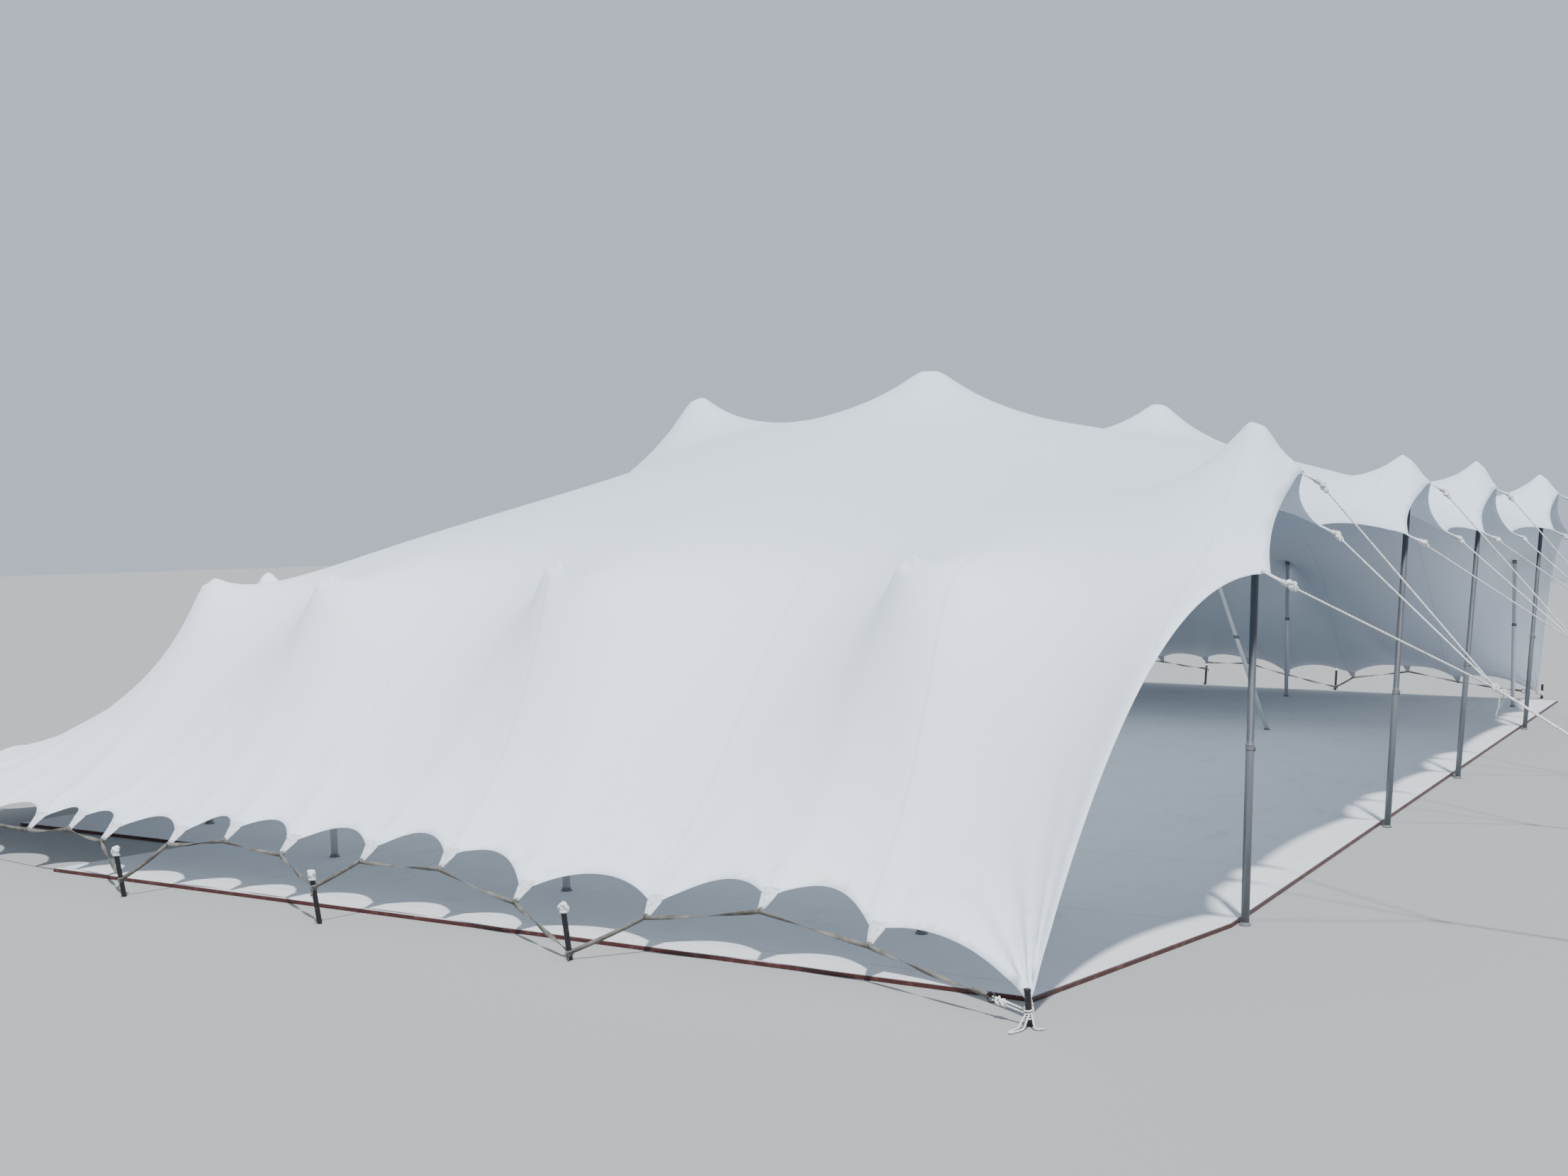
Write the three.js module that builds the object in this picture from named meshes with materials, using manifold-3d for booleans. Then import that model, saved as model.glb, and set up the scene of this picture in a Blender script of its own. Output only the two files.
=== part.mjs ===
// White stretch tent: a tensioned canopy over raking tube poles, tied down along three sides and
// guyed open along the fourth, with its boarded floor. Millimetres, Z up, ground at z = 0.
import * as THREE from 'three';
import { mergeVertices } from 'three/addons/utils/BufferGeometryUtils.js';
import Module from 'manifold-3d';

const wasm = await Module();
wasm.setup();

// Setting-out frame: x is 0 at the open side's front floor corner, y runs away along the open side.
const FLOOR_LENGTH = 18500;
const FLOOR_LEFT = -9400;
const FLOOR_RIGHT = 420;
const CENTRE = { x: (FLOOR_LEFT + FLOOR_RIGHT) / 2, y: FLOOR_LENGTH / 2 };

// Gap left between touching pieces
const GAP = 0.3;

// Canopy fabric, modelled thicker than the real 1 mm cloth, and the spacing of the points on it
const CLOTH = 10;
const CAP_RADIUS = 58;
const CAP_SIDES = 8;
const FLARE_RINGS = [140, 300, 560];
const RING_HEM_GAP = 90;
const GRID = 800;
const GRID_RIGHT = 900;
const GRID_OVERRUN = 400;
const GRID_HEM_GAP = 330;
const GRID_POLE_GAP = 760;

// Shape of the stretched cloth: soft cones, walls that fall steeply, and a flare up to each pole cap
const CONE_POWER = 0.53;
const CONE_ROUNDING = 60;
const WALL_TOP = 1900;
const WALL_EASE = 150;
const FLARE_SHARE = 0.016;
const FLARE_CORE = 200;
const FLARE_REACH = 1500;

// Pulled tongues of cloth at the tie points
const TONGUE_LENGTH = 100;
const TONGUE_HALF_WIDTH = 48;
const TIE_ROOT_RISE = 85;
const SCALLOP_INSET = 130;
const TIGHT_INSET = 50;
const TIGHT_RISE = 100;
const SWEEP_STEPS = 8;
const SWEEP_POWER = 2.3;

// Seams along which the canopy is parted into skirts and roof strips
const NEAR_SEAM = 1650;
const FAR_SEAM = 16750;
const LEFT_SEAM = -8950;
const RIGHT_SEAM = 3000;
const ROOF_SEAMS = [LEFT_SEAM, -5400, -2000, RIGHT_SEAM];

// Floor boards and the matting laid on them
const BOARD = 22;
const MATTING = 3;
const MATTING_MARGIN = 12;
const FRONT_ROW = 1250;
const FRONT_ROW_LEFT = -7500;
const FRONT_ROW_SLANT = 150;
const SKEW_END = 2300;
const BAYS = 3;
const FLOOR_TOP = BOARD + MATTING + 2 * GAP;

// Pole tube, foot and head
const TUBE_RADIUS = 25;
const FOOT_RADIUS = 44;
const FOOT_HEIGHT = 14;
const HEAD_RADIUS = 46;
const HEAD_HEIGHT = 50;
const HEAD_RIM = 22;
const POLE_SIDES = 8;

// Rope, webbing and stakes
const ROPE_RADIUS = 7;
const ROPE_SIDES = 6;
const ROPE_PAIR = 13;
const WEBBING_WIDTH = 28;
const WEBBING_THICK = 6;
const STAKE_RADIUS = 15;
const STAKE_SIDES = 8;
const STAKE_HEIGHT = 320;
const STAKE_LEAN = 0.22;
const CORNER_STAKE_HEIGHT = 200;
const LOOP_HEIGHT = 110;
const TIP_CLEARANCE = WEBBING_THICK / 2 + GAP;

// The poles: the place of each foot, and of each head under the cloth
const POLES = [
  { name: 'open_side_pole_1', foot: [470, 2400], head: [530, 2400, 3120], onFloor: false },
  { name: 'open_side_pole_2', foot: [490, 6650], head: [640, 6650, 3000], onFloor: false },
  { name: 'open_side_pole_3', foot: [500, 9970], head: [700, 9970, 3000], onFloor: false },
  { name: 'open_side_pole_4', foot: [480, 14790], head: [670, 14790, 3000], onFloor: false },
  { name: 'near_pole_1', foot: [-1150, 1100], head: [-1265, 1100, 2240], onFloor: true },
  { name: 'near_pole_2', foot: [-3800, 1130], head: [-3905, 1130, 2180], onFloor: true },
  { name: 'near_pole_3', foot: [-6050, 1330], head: [-6140, 1330, 2040], onFloor: true },
  { name: 'near_corner_pole', foot: [-8000, 1980], head: [-8000, 1980, 1990], onFloor: true },
  { name: 'left_pole_1', foot: [-9300, 3940], head: [-9300, 3940, 1950], onFloor: true },
  { name: 'left_pole_2', foot: [-9300, 7450], head: [-9300, 7450, 2120], onFloor: true },
  { name: 'left_pole_3', foot: [-9300, 11050], head: [-9300, 11050, 2120], onFloor: true },
  { name: 'left_pole_4', foot: [-9300, 14560], head: [-9300, 14560, 2120], onFloor: true },
  { name: 'far_corner_pole', foot: [-8000, 16520], head: [-8000, 16520, 1950], onFloor: true },
  { name: 'far_pole_1', foot: [-6000, 17170], head: [-6000, 17170, 1950], onFloor: true },
  { name: 'far_pole_2', foot: [-3000, 17300], head: [-3000, 17300, 1935], onFloor: true },
  { name: 'far_pole_3', foot: [0, 17300], head: [0, 17300, 1985], onFloor: true },
  { name: 'tall_pole_1', foot: [-7000, 8000], head: [-7000, 8000, 3790], onFloor: true },
  { name: 'tall_pole_2', foot: [-3800, 7000], head: [-3800, 7000, 3920], onFloor: true },
  { name: 'tall_pole_3', foot: [-2150, 13000], head: [-3500, 13000, 3900], onFloor: true },
  { name: 'tall_pole_4', foot: [-7000, 13200], head: [-7000, 13200, 3350], onFloor: true },
];

// Tie points of the near hem from the open corner to the left corner: x, y of the root, height of the tip
const NEAR_TIES = [
  [-910, 0, 220], [-1590, 0, 340], [-2360, 0, 225], [-3300, 0, 220], [-3880, 0, 370], [-4520, 0, 360],
  [-5200, 0, 345], [-5710, 0, 390], [-6230, 0, 320], [-6880, 0, 290], [-7250, 30, 340], [-7710, 60, 295],
  [-8350, 160, 300], [-8950, 290, 330], [-9500, 450, 260],
];
// Stakes of the near side, corners of the cloth, and the even spacing of ties along the left side
const NEAR_STAKES = [[-2680, -400], [-4620, -370], [-6360, -370], [-8680, -180]];
const NEAR_LOOPS = [45, 240, 120, 80];
const CORNER_LOOP = 70;
const LEFT_LOOP = 100;
const OPEN_CORNER = [120, -350, 90];
const LEFT_CORNER = [-10100, 700, 90];
const LEFT_TIES = 20;
const LEFT_STAKE_EVERY = 4;
const LEFT_TIE_HEIGHT = 400;
const LEFT_TIE_SWAY = 40;
const STAKE_OUT = 380;
const CORNER_OUT = 90;
const CORNER_ASIDE = 40;

// Tie points along the open side, by pole: the low tabs before and behind it, and the high one at it
const HIGH_TIES = [[800, 2400, 2820], [800, 6650, 2820], [830, 9970, 2820], [830, 14790, 2820]];
const LOW_BEFORE = [[830, 1500, 2230], [790, 5750, 2420], [840, 9120, 2410], [880, 13890, 2400]];
const LOW_BEHIND = [[720, 3200, 2500], [780, 7500, 2430], [840, 10900, 2400], [850, 15700, 2350]];
const OPEN_TONGUE_DROP = 60;
const RIDGE_HOLDS = [0.4, 0.7];
const ARCH_INSET = 70;
const OPEN_HEM_INSET = 60;
const OPEN_HEM_RISE = 40;

// Guy ropes: three strands meet at a knot and run on as a pair to one stake
const KNOT = { x: 1930, z: 1550, radius: 26 };
const GUY_STAKE_X = 4240;

const mirrored = (y) => FLOOR_LENGTH - y;
const lerp = (a, b, t) => a + (b - a) * t;

// Closed geometry from vertex and triangle lists
function geometryFrom(vertices, triangles) {
  const geometry = new THREE.BufferGeometry();
  geometry.setAttribute('position', new THREE.Float32BufferAttribute(vertices.flat(), 3));
  geometry.setIndex(triangles.flat());
  geometry.computeVertexNormals();
  return geometry;
}

function toSolid(geometry) {
  const bare = geometry.clone();
  for (const name of Object.keys(bare.attributes)) {
    if (name !== 'position') {
      bare.deleteAttribute(name);
    }
  }
  const merged = mergeVertices(bare, 1e-3);
  return new wasm.Manifold(new wasm.Mesh({
    numProp: 3,
    vertProperties: new Float32Array(merged.attributes.position.array),
    triVerts: new Uint32Array(merged.index.array),
  }));
}

function fromSolid(solid) {
  const mesh = solid.getMesh();
  const geometry = new THREE.BufferGeometry();
  geometry.setAttribute('position', new THREE.BufferAttribute(new Float32Array(mesh.vertProperties), 3));
  geometry.setIndex([...mesh.triVerts]);
  geometry.computeVertexNormals();
  return geometry;
}

const root = new THREE.Group();
root.name = 'stretch_tent';
root.position.set(-CENTRE.x, -CENTRE.y, 0);

function addPiece(name, geometry, material) {
  const mesh = new THREE.Mesh(geometry, material.clone());
  mesh.name = name;
  root.add(mesh);
  return mesh;
}

const clothWhite = new THREE.MeshStandardMaterial({ color: 0xe9edf2, roughness: 0.75, metalness: 0 });
const boardRed = new THREE.MeshStandardMaterial({ color: 0x5a1f1c, roughness: 0.5, metalness: 0 });
const mattingGrey = new THREE.MeshStandardMaterial({ color: 0xd9dcdd, roughness: 0.9, metalness: 0 });
const aluminium = new THREE.MeshStandardMaterial({ color: 0xa3a9ac, roughness: 0.45, metalness: 0.9 });
const ropeWhite = new THREE.MeshStandardMaterial({ color: 0xdedfd9, roughness: 0.9, metalness: 0 });
const webbingGrey = new THREE.MeshStandardMaterial({ color: 0x9c9888, roughness: 0.9, metalness: 0 });
const stakeSteel = new THREE.MeshStandardMaterial({ color: 0x30302e, roughness: 0.7, metalness: 0.6 });

// Hem outline, clockwise seen from above, with a pointed tongue at every tie point
const hem = [];
const tips = { near: [], left: [], far: [], open: [] };

// Adds the tongue at a root point; out is the direction away from the canopy, drop the fall to its tip
function addTongue(side, rootPoint, out, drop) {
  const along = [-out[1], out[0]];
  const [x, y, z] = rootPoint;
  const tip = [x + out[0] * TONGUE_LENGTH, y + out[1] * TONGUE_LENGTH, z - drop];
  const shoulder = (sign) => [
    x + sign * along[0] * TONGUE_HALF_WIDTH,
    y + sign * along[1] * TONGUE_HALF_WIDTH,
    z,
  ];
  hem.push(holding(shoulder(1)), tip, holding(shoulder(-1)));
  tips[side].push(hem.length - 2);
}

// Marks a point of the hem as one that holds the cloth down, which the surface then passes through
function holding(point) {
  point.holds = true;
  return point;
}

// Adds the points of the edge that bows in between two tie points; a slack edge lies where the surface is
function addBow(to, inward, inset, rise, steps) {
  const from = hem[hem.length - 1];
  for (let i = 1; i < steps; i += 1) {
    const t = i / steps;
    const bow = 4 * t * (1 - t);
    const point = [
      lerp(from[0], to[0], t) + inward[0] * inset * bow,
      lerp(from[1], to[1], t) + inward[1] * inset * bow,
      lerp(from[2], to[2], t) + (rise ?? 0) * bow,
    ];
    point.holds = rise !== null;
    hem.push(point);
  }
}

// The long edge at each end of the open side, sweeping from the ground up to the first low tab
function sweepPoint(ground, tab, t) {
  return [
    lerp(ground[0], tab[0], t),
    lerp(ground[1], tab[1], t),
    lerp(ground[2], tab[2], 1 - (1 - t) ** SWEEP_POWER),
  ];
}

// Adds the hem of one tied side, which is pulled tight and hardly bows in next to each corner
function addTiedSide(side, ties, out, nextCorner) {
  const inward = [-out[0], -out[1]];
  ties.forEach(([x, y, tipHeight], k) => {
    const rootPoint = [x, y, tipHeight + TIE_ROOT_RISE];
    const shoulder = [x - out[1] * TONGUE_HALF_WIDTH, y + out[0] * TONGUE_HALF_WIDTH, rootPoint[2]];
    if (k === 0) {
      addBow(shoulder, inward, TIGHT_INSET, TIGHT_RISE, 5);
    } else {
      addBow(shoulder, inward, SCALLOP_INSET, null, 3);
    }
    addTongue(side, rootPoint, out, TIE_ROOT_RISE);
  });
  addBow(nextCorner, inward, TIGHT_INSET, TIGHT_RISE, 5);
}

const leftTies = [];
for (let i = 1; i < LEFT_TIES; i += 1) {
  const y = lerp(LEFT_CORNER[1], mirrored(LEFT_CORNER[1]), i / LEFT_TIES);
  leftTies.push([LEFT_CORNER[0], y, LEFT_TIE_HEIGHT + LEFT_TIE_SWAY * Math.sin(i * 2.4)]);
}
const farLeftCorner = [LEFT_CORNER[0], mirrored(LEFT_CORNER[1]), LEFT_CORNER[2]];
const farOpenCorner = [OPEN_CORNER[0], mirrored(OPEN_CORNER[1]), OPEN_CORNER[2]];
const farTies = NEAR_TIES.map(([x, y, z]) => [x, mirrored(y), z]).reverse();

hem.push(holding(OPEN_CORNER));
addTiedSide('near', NEAR_TIES, [0, -1], LEFT_CORNER);
hem.push(holding(LEFT_CORNER));
addTiedSide('left', leftTies, [-1, 0], farLeftCorner);
hem.push(holding(farLeftCorner));
addTiedSide('far', farTies, [0, 1], farOpenCorner);
hem.push(holding(farOpenCorner));

for (let i = 1; i < SWEEP_STEPS; i += 1) {
  hem.push(holding(sweepPoint(farOpenCorner, LOW_BEHIND[3], i / SWEEP_STEPS)));
}
for (let pole = 3; pole >= 0; pole -= 1) {
  const outward = [1, 0];
  const stops = [LOW_BEHIND[pole], HIGH_TIES[pole], LOW_BEFORE[pole]];
  stops.forEach((stop, k) => {
    if (k > 0) {
      const shoulder = [stop[0], stop[1] + TONGUE_HALF_WIDTH, stop[2]];
      addBow(shoulder, [-1, 0], ARCH_INSET, 0, 4);
    }
    addTongue('open', stop, outward, OPEN_TONGUE_DROP);
  });
  if (pole > 0) {
    const next = LOW_BEHIND[pole - 1];
    addBow([next[0], next[1] + TONGUE_HALF_WIDTH, next[2]], [-1, 0], OPEN_HEM_INSET, OPEN_HEM_RISE, 5);
  }
}
for (let i = SWEEP_STEPS - 1; i > 0; i -= 1) {
  hem.push(holding(sweepPoint(OPEN_CORNER, LOW_BEFORE[0], i / SWEEP_STEPS)));
}

function insideHem(x, y) {
  let inside = false;
  for (let i = 0, j = hem.length - 1; i < hem.length; j = i, i += 1) {
    const [xi, yi] = hem[i];
    const [xj, yj] = hem[j];
    if ((yi > y) !== (yj > y) && x < ((xj - xi) * (y - yi)) / (yj - yi) + xi) {
      inside = !inside;
    }
  }
  return inside;
}

function distanceToHem(x, y) {
  return Math.min(...hem.map((point) => Math.hypot(point[0] - x, point[1] - y)));
}

const isTip = (index) => Object.values(tips).some((side) => side.includes(index));

// Canopy points: the hem, the caps over the poles with a ring where the cloth flares, and a grid between
const points = hem.map(([x, y, z], i) => ({ x, y, z, fixed: hem[i].holds || isTip(i), cap: false }));
for (const pole of POLES) {
  const [x, y, z] = pole.head;
  points.push({ x, y, z, fixed: true, cap: true });
  for (let i = 0; i < CAP_SIDES; i += 1) {
    const angle = (i * 2 * Math.PI) / CAP_SIDES;
    const [dx, dy] = [Math.cos(angle), Math.sin(angle)];
    points.push({ x: x + CAP_RADIUS * dx, y: y + CAP_RADIUS * dy, z, fixed: true, cap: true });
  }
  FLARE_RINGS.forEach((radius, ring) => {
    for (let i = 0; i < CAP_SIDES; i += 1) {
      const angle = ((i + (ring + 1) / 2) * 2 * Math.PI) / CAP_SIDES;
      const [px, py] = [x + radius * Math.cos(angle), y + radius * Math.sin(angle)];
      if (insideHem(px, py) && distanceToHem(px, py) > RING_HEM_GAP + radius / 5) {
        points.push({ x: px, y: py, z, fixed: false, cap: false });
      }
    }
  });
}
const rows = Math.round((FLOOR_LENGTH + 2 * GRID_OVERRUN) / GRID);
const columns = Math.round((GRID_RIGHT - LEFT_CORNER[0]) / GRID);
for (let row = 0; row <= rows; row += 1) {
  for (let column = 0; column <= columns; column += 1) {
    const x = lerp(LEFT_CORNER[0], GRID_RIGHT, column / columns) + (row % 2) * GRID * 0.5;
    const y = lerp(-GRID_OVERRUN, FLOOR_LENGTH + GRID_OVERRUN, row / rows);
    const clearOfPoles = POLES.every(({ head }) => Math.hypot(head[0] - x, head[1] - y) > GRID_POLE_GAP);
    if (clearOfPoles && insideHem(x, y) && distanceToHem(x, y) > GRID_HEM_GAP) {
      points.push({ x, y, z: 0, fixed: false, cap: false });
    }
  }
}

// Delaunay triangles of the points in plan, by adding them one at a time
function triangulate(sites) {
  const all = sites.map(({ x, y }) => [x, y]);
  const far = 1e6;
  const first = all.length;
  all.push([-far, -far], [far, -far], [0, far]);
  let triangles = [[first, first + 1, first + 2]];
  const encloses = (triangle, p) => {
    const [a, b, c] = triangle.map((index) => [all[index][0] - p[0], all[index][1] - p[1]]);
    const square = (v) => v[0] * v[0] + v[1] * v[1];
    return square(a) * (b[0] * c[1] - b[1] * c[0])
      - square(b) * (a[0] * c[1] - a[1] * c[0])
      + square(c) * (a[0] * b[1] - a[1] * b[0]) > 0;
  };
  for (let index = 0; index < first; index += 1) {
    const rim = new Map();
    const kept = [];
    for (const triangle of triangles) {
      if (!encloses(triangle, all[index])) {
        kept.push(triangle);
        continue;
      }
      for (let k = 0; k < 3; k += 1) {
        const [from, to] = [triangle[k], triangle[(k + 1) % 3]];
        if (rim.has(`${to},${from}`)) {
          rim.delete(`${to},${from}`);
        } else {
          rim.set(`${from},${to}`, [from, to]);
        }
      }
    }
    triangles = kept.concat([...rim.values()].map(([from, to]) => [from, to, index]));
  }
  return triangles.filter((triangle) => {
    if (triangle.some((index) => index >= first)) {
      return false;
    }
    const middle = [0, 1].map((axis) => triangle.reduce((sum, index) => sum + all[index][axis], 0) / 3);
    return insideHem(middle[0], middle[1]);
  });
}

const faces = triangulate(points);

// Solves a full set of linear equations by elimination with row exchange
function solve(matrix, values) {
  const n = values.length;
  const rowsOf = matrix.map((row, i) => [...row, values[i]]);
  for (let k = 0; k < n; k += 1) {
    let best = k;
    for (let i = k + 1; i < n; i += 1) {
      if (Math.abs(rowsOf[i][k]) > Math.abs(rowsOf[best][k])) {
        best = i;
      }
    }
    [rowsOf[k], rowsOf[best]] = [rowsOf[best], rowsOf[k]];
    for (let i = k + 1; i < n; i += 1) {
      const factor = rowsOf[i][k] / rowsOf[k][k];
      for (let j = k; j <= n; j += 1) {
        rowsOf[i][j] -= factor * rowsOf[k][j];
      }
    }
  }
  const result = new Array(n).fill(0);
  for (let i = n - 1; i >= 0; i -= 1) {
    let sum = rowsOf[i][n];
    for (let j = i + 1; j < n; j += 1) {
      sum -= rowsOf[i][j] * result[j];
    }
    result[i] = sum / rowsOf[i][i];
  }
  return result;
}

// How far the flare round a pole still lifts the cloth at a distance from the cap, from 1 down to 0
function flareShare(distance) {
  const away = Math.max(0, distance - CAP_RADIUS);
  if (away >= FLARE_REACH) {
    return 0;
  }
  const fall = Math.log(1 + (away / FLARE_CORE) ** 2) / Math.log(1 + (FLARE_REACH / FLARE_CORE) ** 2);
  return (1 - fall) * (1 - (away / FLARE_REACH) ** 2) ** 2;
}

const flareHeight = (pole) => FLARE_SHARE * pole.head[2] ** 2 / 1000;
const flareAt = (x, y) => Math.max(...POLES.map((pole) => (
  flareHeight(pole) * flareShare(Math.hypot(pole.head[0] - x, pole.head[1] - y)))));

// Stretched cloth as a surface of soft cones, one at each held point, that passes through all of them
const ridges = HIGH_TIES.flatMap((root, i) => RIDGE_HOLDS.map((t) => (
  POLES[i].head.map((value, axis) => lerp(value, root[axis], t)))));
const held = [
  ...[...hem.filter((point) => point.holds), ...ridges].map(([x, y, z]) => [x, y, z - flareAt(x, y), 0]),
  ...POLES.map((pole) => [pole.head[0], pole.head[1], pole.head[2] - flareHeight(pole), CAP_RADIUS]),
];

function cone([x, y], [px, py, , cap]) {
  const gap = Math.max(0, Math.hypot(x - px, y - py) - cap);
  return (gap * gap + CONE_ROUNDING ** 2) ** (CONE_POWER / 2);
}

// Heights stretched out below the wall top, so that the walls fall steeply and then run out flat
function eased(z) {
  const reach = WALL_TOP + WALL_EASE;
  return z >= WALL_TOP ? z : WALL_TOP + reach * Math.log((z + WALL_EASE) / reach);
}

function settled(height) {
  const reach = WALL_TOP + WALL_EASE;
  return height >= WALL_TOP ? height : reach * Math.exp((height - WALL_TOP) / reach) - WALL_EASE;
}

const coneMatrix = held.map((at) => [...held.map((point) => cone(at, point)), 1]);
coneMatrix.push([...held.map(() => 1), 0]);
const coneWeights = solve(coneMatrix, [...held.map((point) => eased(point[2])), 0]);

function clothHeight(x, y) {
  const base = coneWeights[held.length];
  const smooth = held.reduce((sum, point, i) => sum + coneWeights[i] * cone([x, y], point), base);
  return settled(smooth) + flareAt(x, y);
}

for (const point of points) {
  if (!point.fixed) {
    point.z = clothHeight(point.x, point.y);
  }
}

// Closed thin sheet over the points, with its underside set off along the cloth's own normal
const normals = points.map(() => new THREE.Vector3());
for (const [a, b, c] of faces) {
  const [pa, pb, pc] = [a, b, c].map((i) => new THREE.Vector3(points[i].x, points[i].y, points[i].z));
  const normal = pb.sub(pa).cross(pc.sub(pa));
  [a, b, c].forEach((i) => normals[i].add(normal));
}
normals.forEach((normal) => normal.normalize());

function clothSheet() {
  const count = points.length;
  const upper = points.map(({ x, y, z }) => [x, y, z]);
  const lower = points.map((point, i) => {
    const normal = point.cap ? new THREE.Vector3(0, 0, 1) : normals[i];
    return [point.x - normal.x * CLOTH, point.y - normal.y * CLOTH, point.z - normal.z * CLOTH];
  });
  const triangles = [];
  const edges = new Set();
  for (const [a, b, c] of faces) {
    triangles.push([a, b, c], [a + count, c + count, b + count]);
    [[a, b], [b, c], [c, a]].forEach(([from, to]) => edges.add(`${from},${to}`));
  }
  for (const edge of edges) {
    const [from, to] = edge.split(',').map(Number);
    if (!edges.has(`${to},${from}`)) {
      triangles.push([to, from, from + count], [to, from + count, to + count]);
    }
  }
  return toSolid(geometryFrom([...upper, ...lower], triangles));
}

function block(low, high) {
  const geometry = new THREE.BoxGeometry(high[0] - low[0], high[1] - low[1], high[2] - low[2]);
  geometry.translate((low[0] + high[0]) / 2, (low[1] + high[1]) / 2, (low[2] + high[2]) / 2);
  return toSolid(geometry);
}

// The canopy, parted along seams beside the pole rows into skirts and three lengthwise roof strips
const canopy = clothSheet();
const OUTSIDE = 3000;

function addPanel(name, [left, near], [right, far]) {
  const height = POLES.reduce((top, pole) => Math.max(top, pole.head[2]), 0) + OUTSIDE;
  const cut = block([left + GAP / 2, near + GAP / 2, 0], [right - GAP / 2, far - GAP / 2, height]);
  addPiece(name, fromSolid(canopy.intersect(cut)), clothWhite);
}

const outerLeft = LEFT_CORNER[0] - OUTSIDE;
addPanel('canopy_near_skirt', [outerLeft, -OUTSIDE], [RIGHT_SEAM, NEAR_SEAM]);
addPanel('canopy_far_skirt', [outerLeft, FAR_SEAM], [RIGHT_SEAM, FLOOR_LENGTH + OUTSIDE]);
addPanel('canopy_left_skirt', [outerLeft, NEAR_SEAM], [LEFT_SEAM, FAR_SEAM]);
for (let i = 0; i < ROOF_SEAMS.length - 1; i += 1) {
  addPanel(`canopy_roof_${i + 1}`, [ROOF_SEAMS[i], NEAR_SEAM], [ROOF_SEAMS[i + 1], FAR_SEAM]);
}

// Floor: the narrower front row of boards with its skewed end, then three wider bays, and the matting
function edgeAt(y) {
  return FLOOR_RIGHT * Math.min(1, y / SKEW_END);
}

function slab(outline, bottom, thickness) {
  const shape = new THREE.Shape(outline.map(([x, y]) => new THREE.Vector2(x, y)));
  const geometry = new THREE.ExtrudeGeometry(shape, { depth: thickness, bevelEnabled: false });
  geometry.translate(0, 0, bottom);
  return geometry;
}

const slantLeft = FRONT_ROW_LEFT + FRONT_ROW_SLANT;
const frontRow = [[0, 0], [edgeAt(FRONT_ROW), FRONT_ROW], [slantLeft, FRONT_ROW], [FRONT_ROW_LEFT, 0]];
addPiece('floor_front_row', slab(frontRow, 0, BOARD), boardRed);
for (let i = 0; i < BAYS; i += 1) {
  const from = lerp(FRONT_ROW, FLOOR_LENGTH, i / BAYS) + GAP;
  const to = lerp(FRONT_ROW, FLOOR_LENGTH, (i + 1) / BAYS);
  const right = i === 0 ? [[edgeAt(from), from], [FLOOR_RIGHT, SKEW_END]] : [[FLOOR_RIGHT, from]];
  const outline = [...right, [FLOOR_RIGHT, to], [FLOOR_LEFT, to], [FLOOR_LEFT, from]];
  addPiece(`floor_bay_${i + 1}`, slab(outline, 0, BOARD), boardRed);
}
const m = MATTING_MARGIN;
const mattingOutline = [
  [-m, m], [FLOOR_RIGHT - m, SKEW_END], [FLOOR_RIGHT - m, FLOOR_LENGTH - m],
  [FLOOR_LEFT + m, FLOOR_LENGTH - m], [FLOOR_LEFT + m, FRONT_ROW + m],
  [slantLeft + m, FRONT_ROW + m], [FRONT_ROW_LEFT + m, m],
];
addPiece('floor_matting', slab(mattingOutline, BOARD + GAP, MATTING), mattingGrey);

// Poles: a turned foot, tube and spreading head, leaned by shearing so that foot and head stay level
function leanedPole(foot, head, bottom, top) {
  const height = top - bottom;
  const profile = [
    [0, 0], [FOOT_RADIUS, 0], [FOOT_RADIUS, FOOT_HEIGHT], [TUBE_RADIUS, FOOT_HEIGHT],
    [TUBE_RADIUS, height - HEAD_HEIGHT], [HEAD_RADIUS, height - HEAD_RIM], [HEAD_RADIUS, height], [0, height],
  ].map(([radius, z]) => new THREE.Vector2(radius, z));
  const geometry = new THREE.LatheGeometry(profile, POLE_SIDES);
  geometry.rotateX(Math.PI / 2);
  const slopeX = (head[0] - foot[0]) / height;
  const slopeY = (head[1] - foot[1]) / height;
  geometry.applyMatrix4(new THREE.Matrix4().set(
    1, 0, slopeX, foot[0],
    0, 1, slopeY, foot[1],
    0, 0, 1, bottom,
    0, 0, 0, 1,
  ));
  return geometry;
}

for (const { name, foot, head, onFloor } of POLES) {
  const bottom = onFloor ? FLOOR_TOP : 0;
  addPiece(name, leanedPole(foot, head, bottom, head[2] - CLOTH - GAP), aluminium);
}

// A straight length of rope from one point to another
function ropeBetween(from, to) {
  const start = new THREE.Vector3(...from);
  const end = new THREE.Vector3(...to);
  const geometry = new THREE.CylinderGeometry(ROPE_RADIUS, ROPE_RADIUS, start.distanceTo(end), ROPE_SIDES);
  const direction = end.clone().sub(start).normalize();
  geometry.applyQuaternion(new THREE.Quaternion().setFromUnitVectors(new THREE.Vector3(0, 1, 0), direction));
  const middle = start.add(end).multiplyScalar(0.5);
  geometry.translate(middle.x, middle.y, middle.z);
  return toSolid(geometry);
}

// A stake's leaning bar; lean is how far its axis moves sideways for each millimetre of height
function stake(x, y, lean, height = STAKE_HEIGHT) {
  const geometry = new THREE.CylinderGeometry(STAKE_RADIUS, STAKE_RADIUS, height, STAKE_SIDES);
  geometry.rotateX(Math.PI / 2);
  geometry.translate(0, 0, height / 2);
  geometry.applyMatrix4(new THREE.Matrix4().set(1, 0, lean[0], x, 0, 1, lean[1], y, 0, 0, 1, 0, 0, 0, 0, 1));
  return toSolid(geometry);
}

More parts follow.
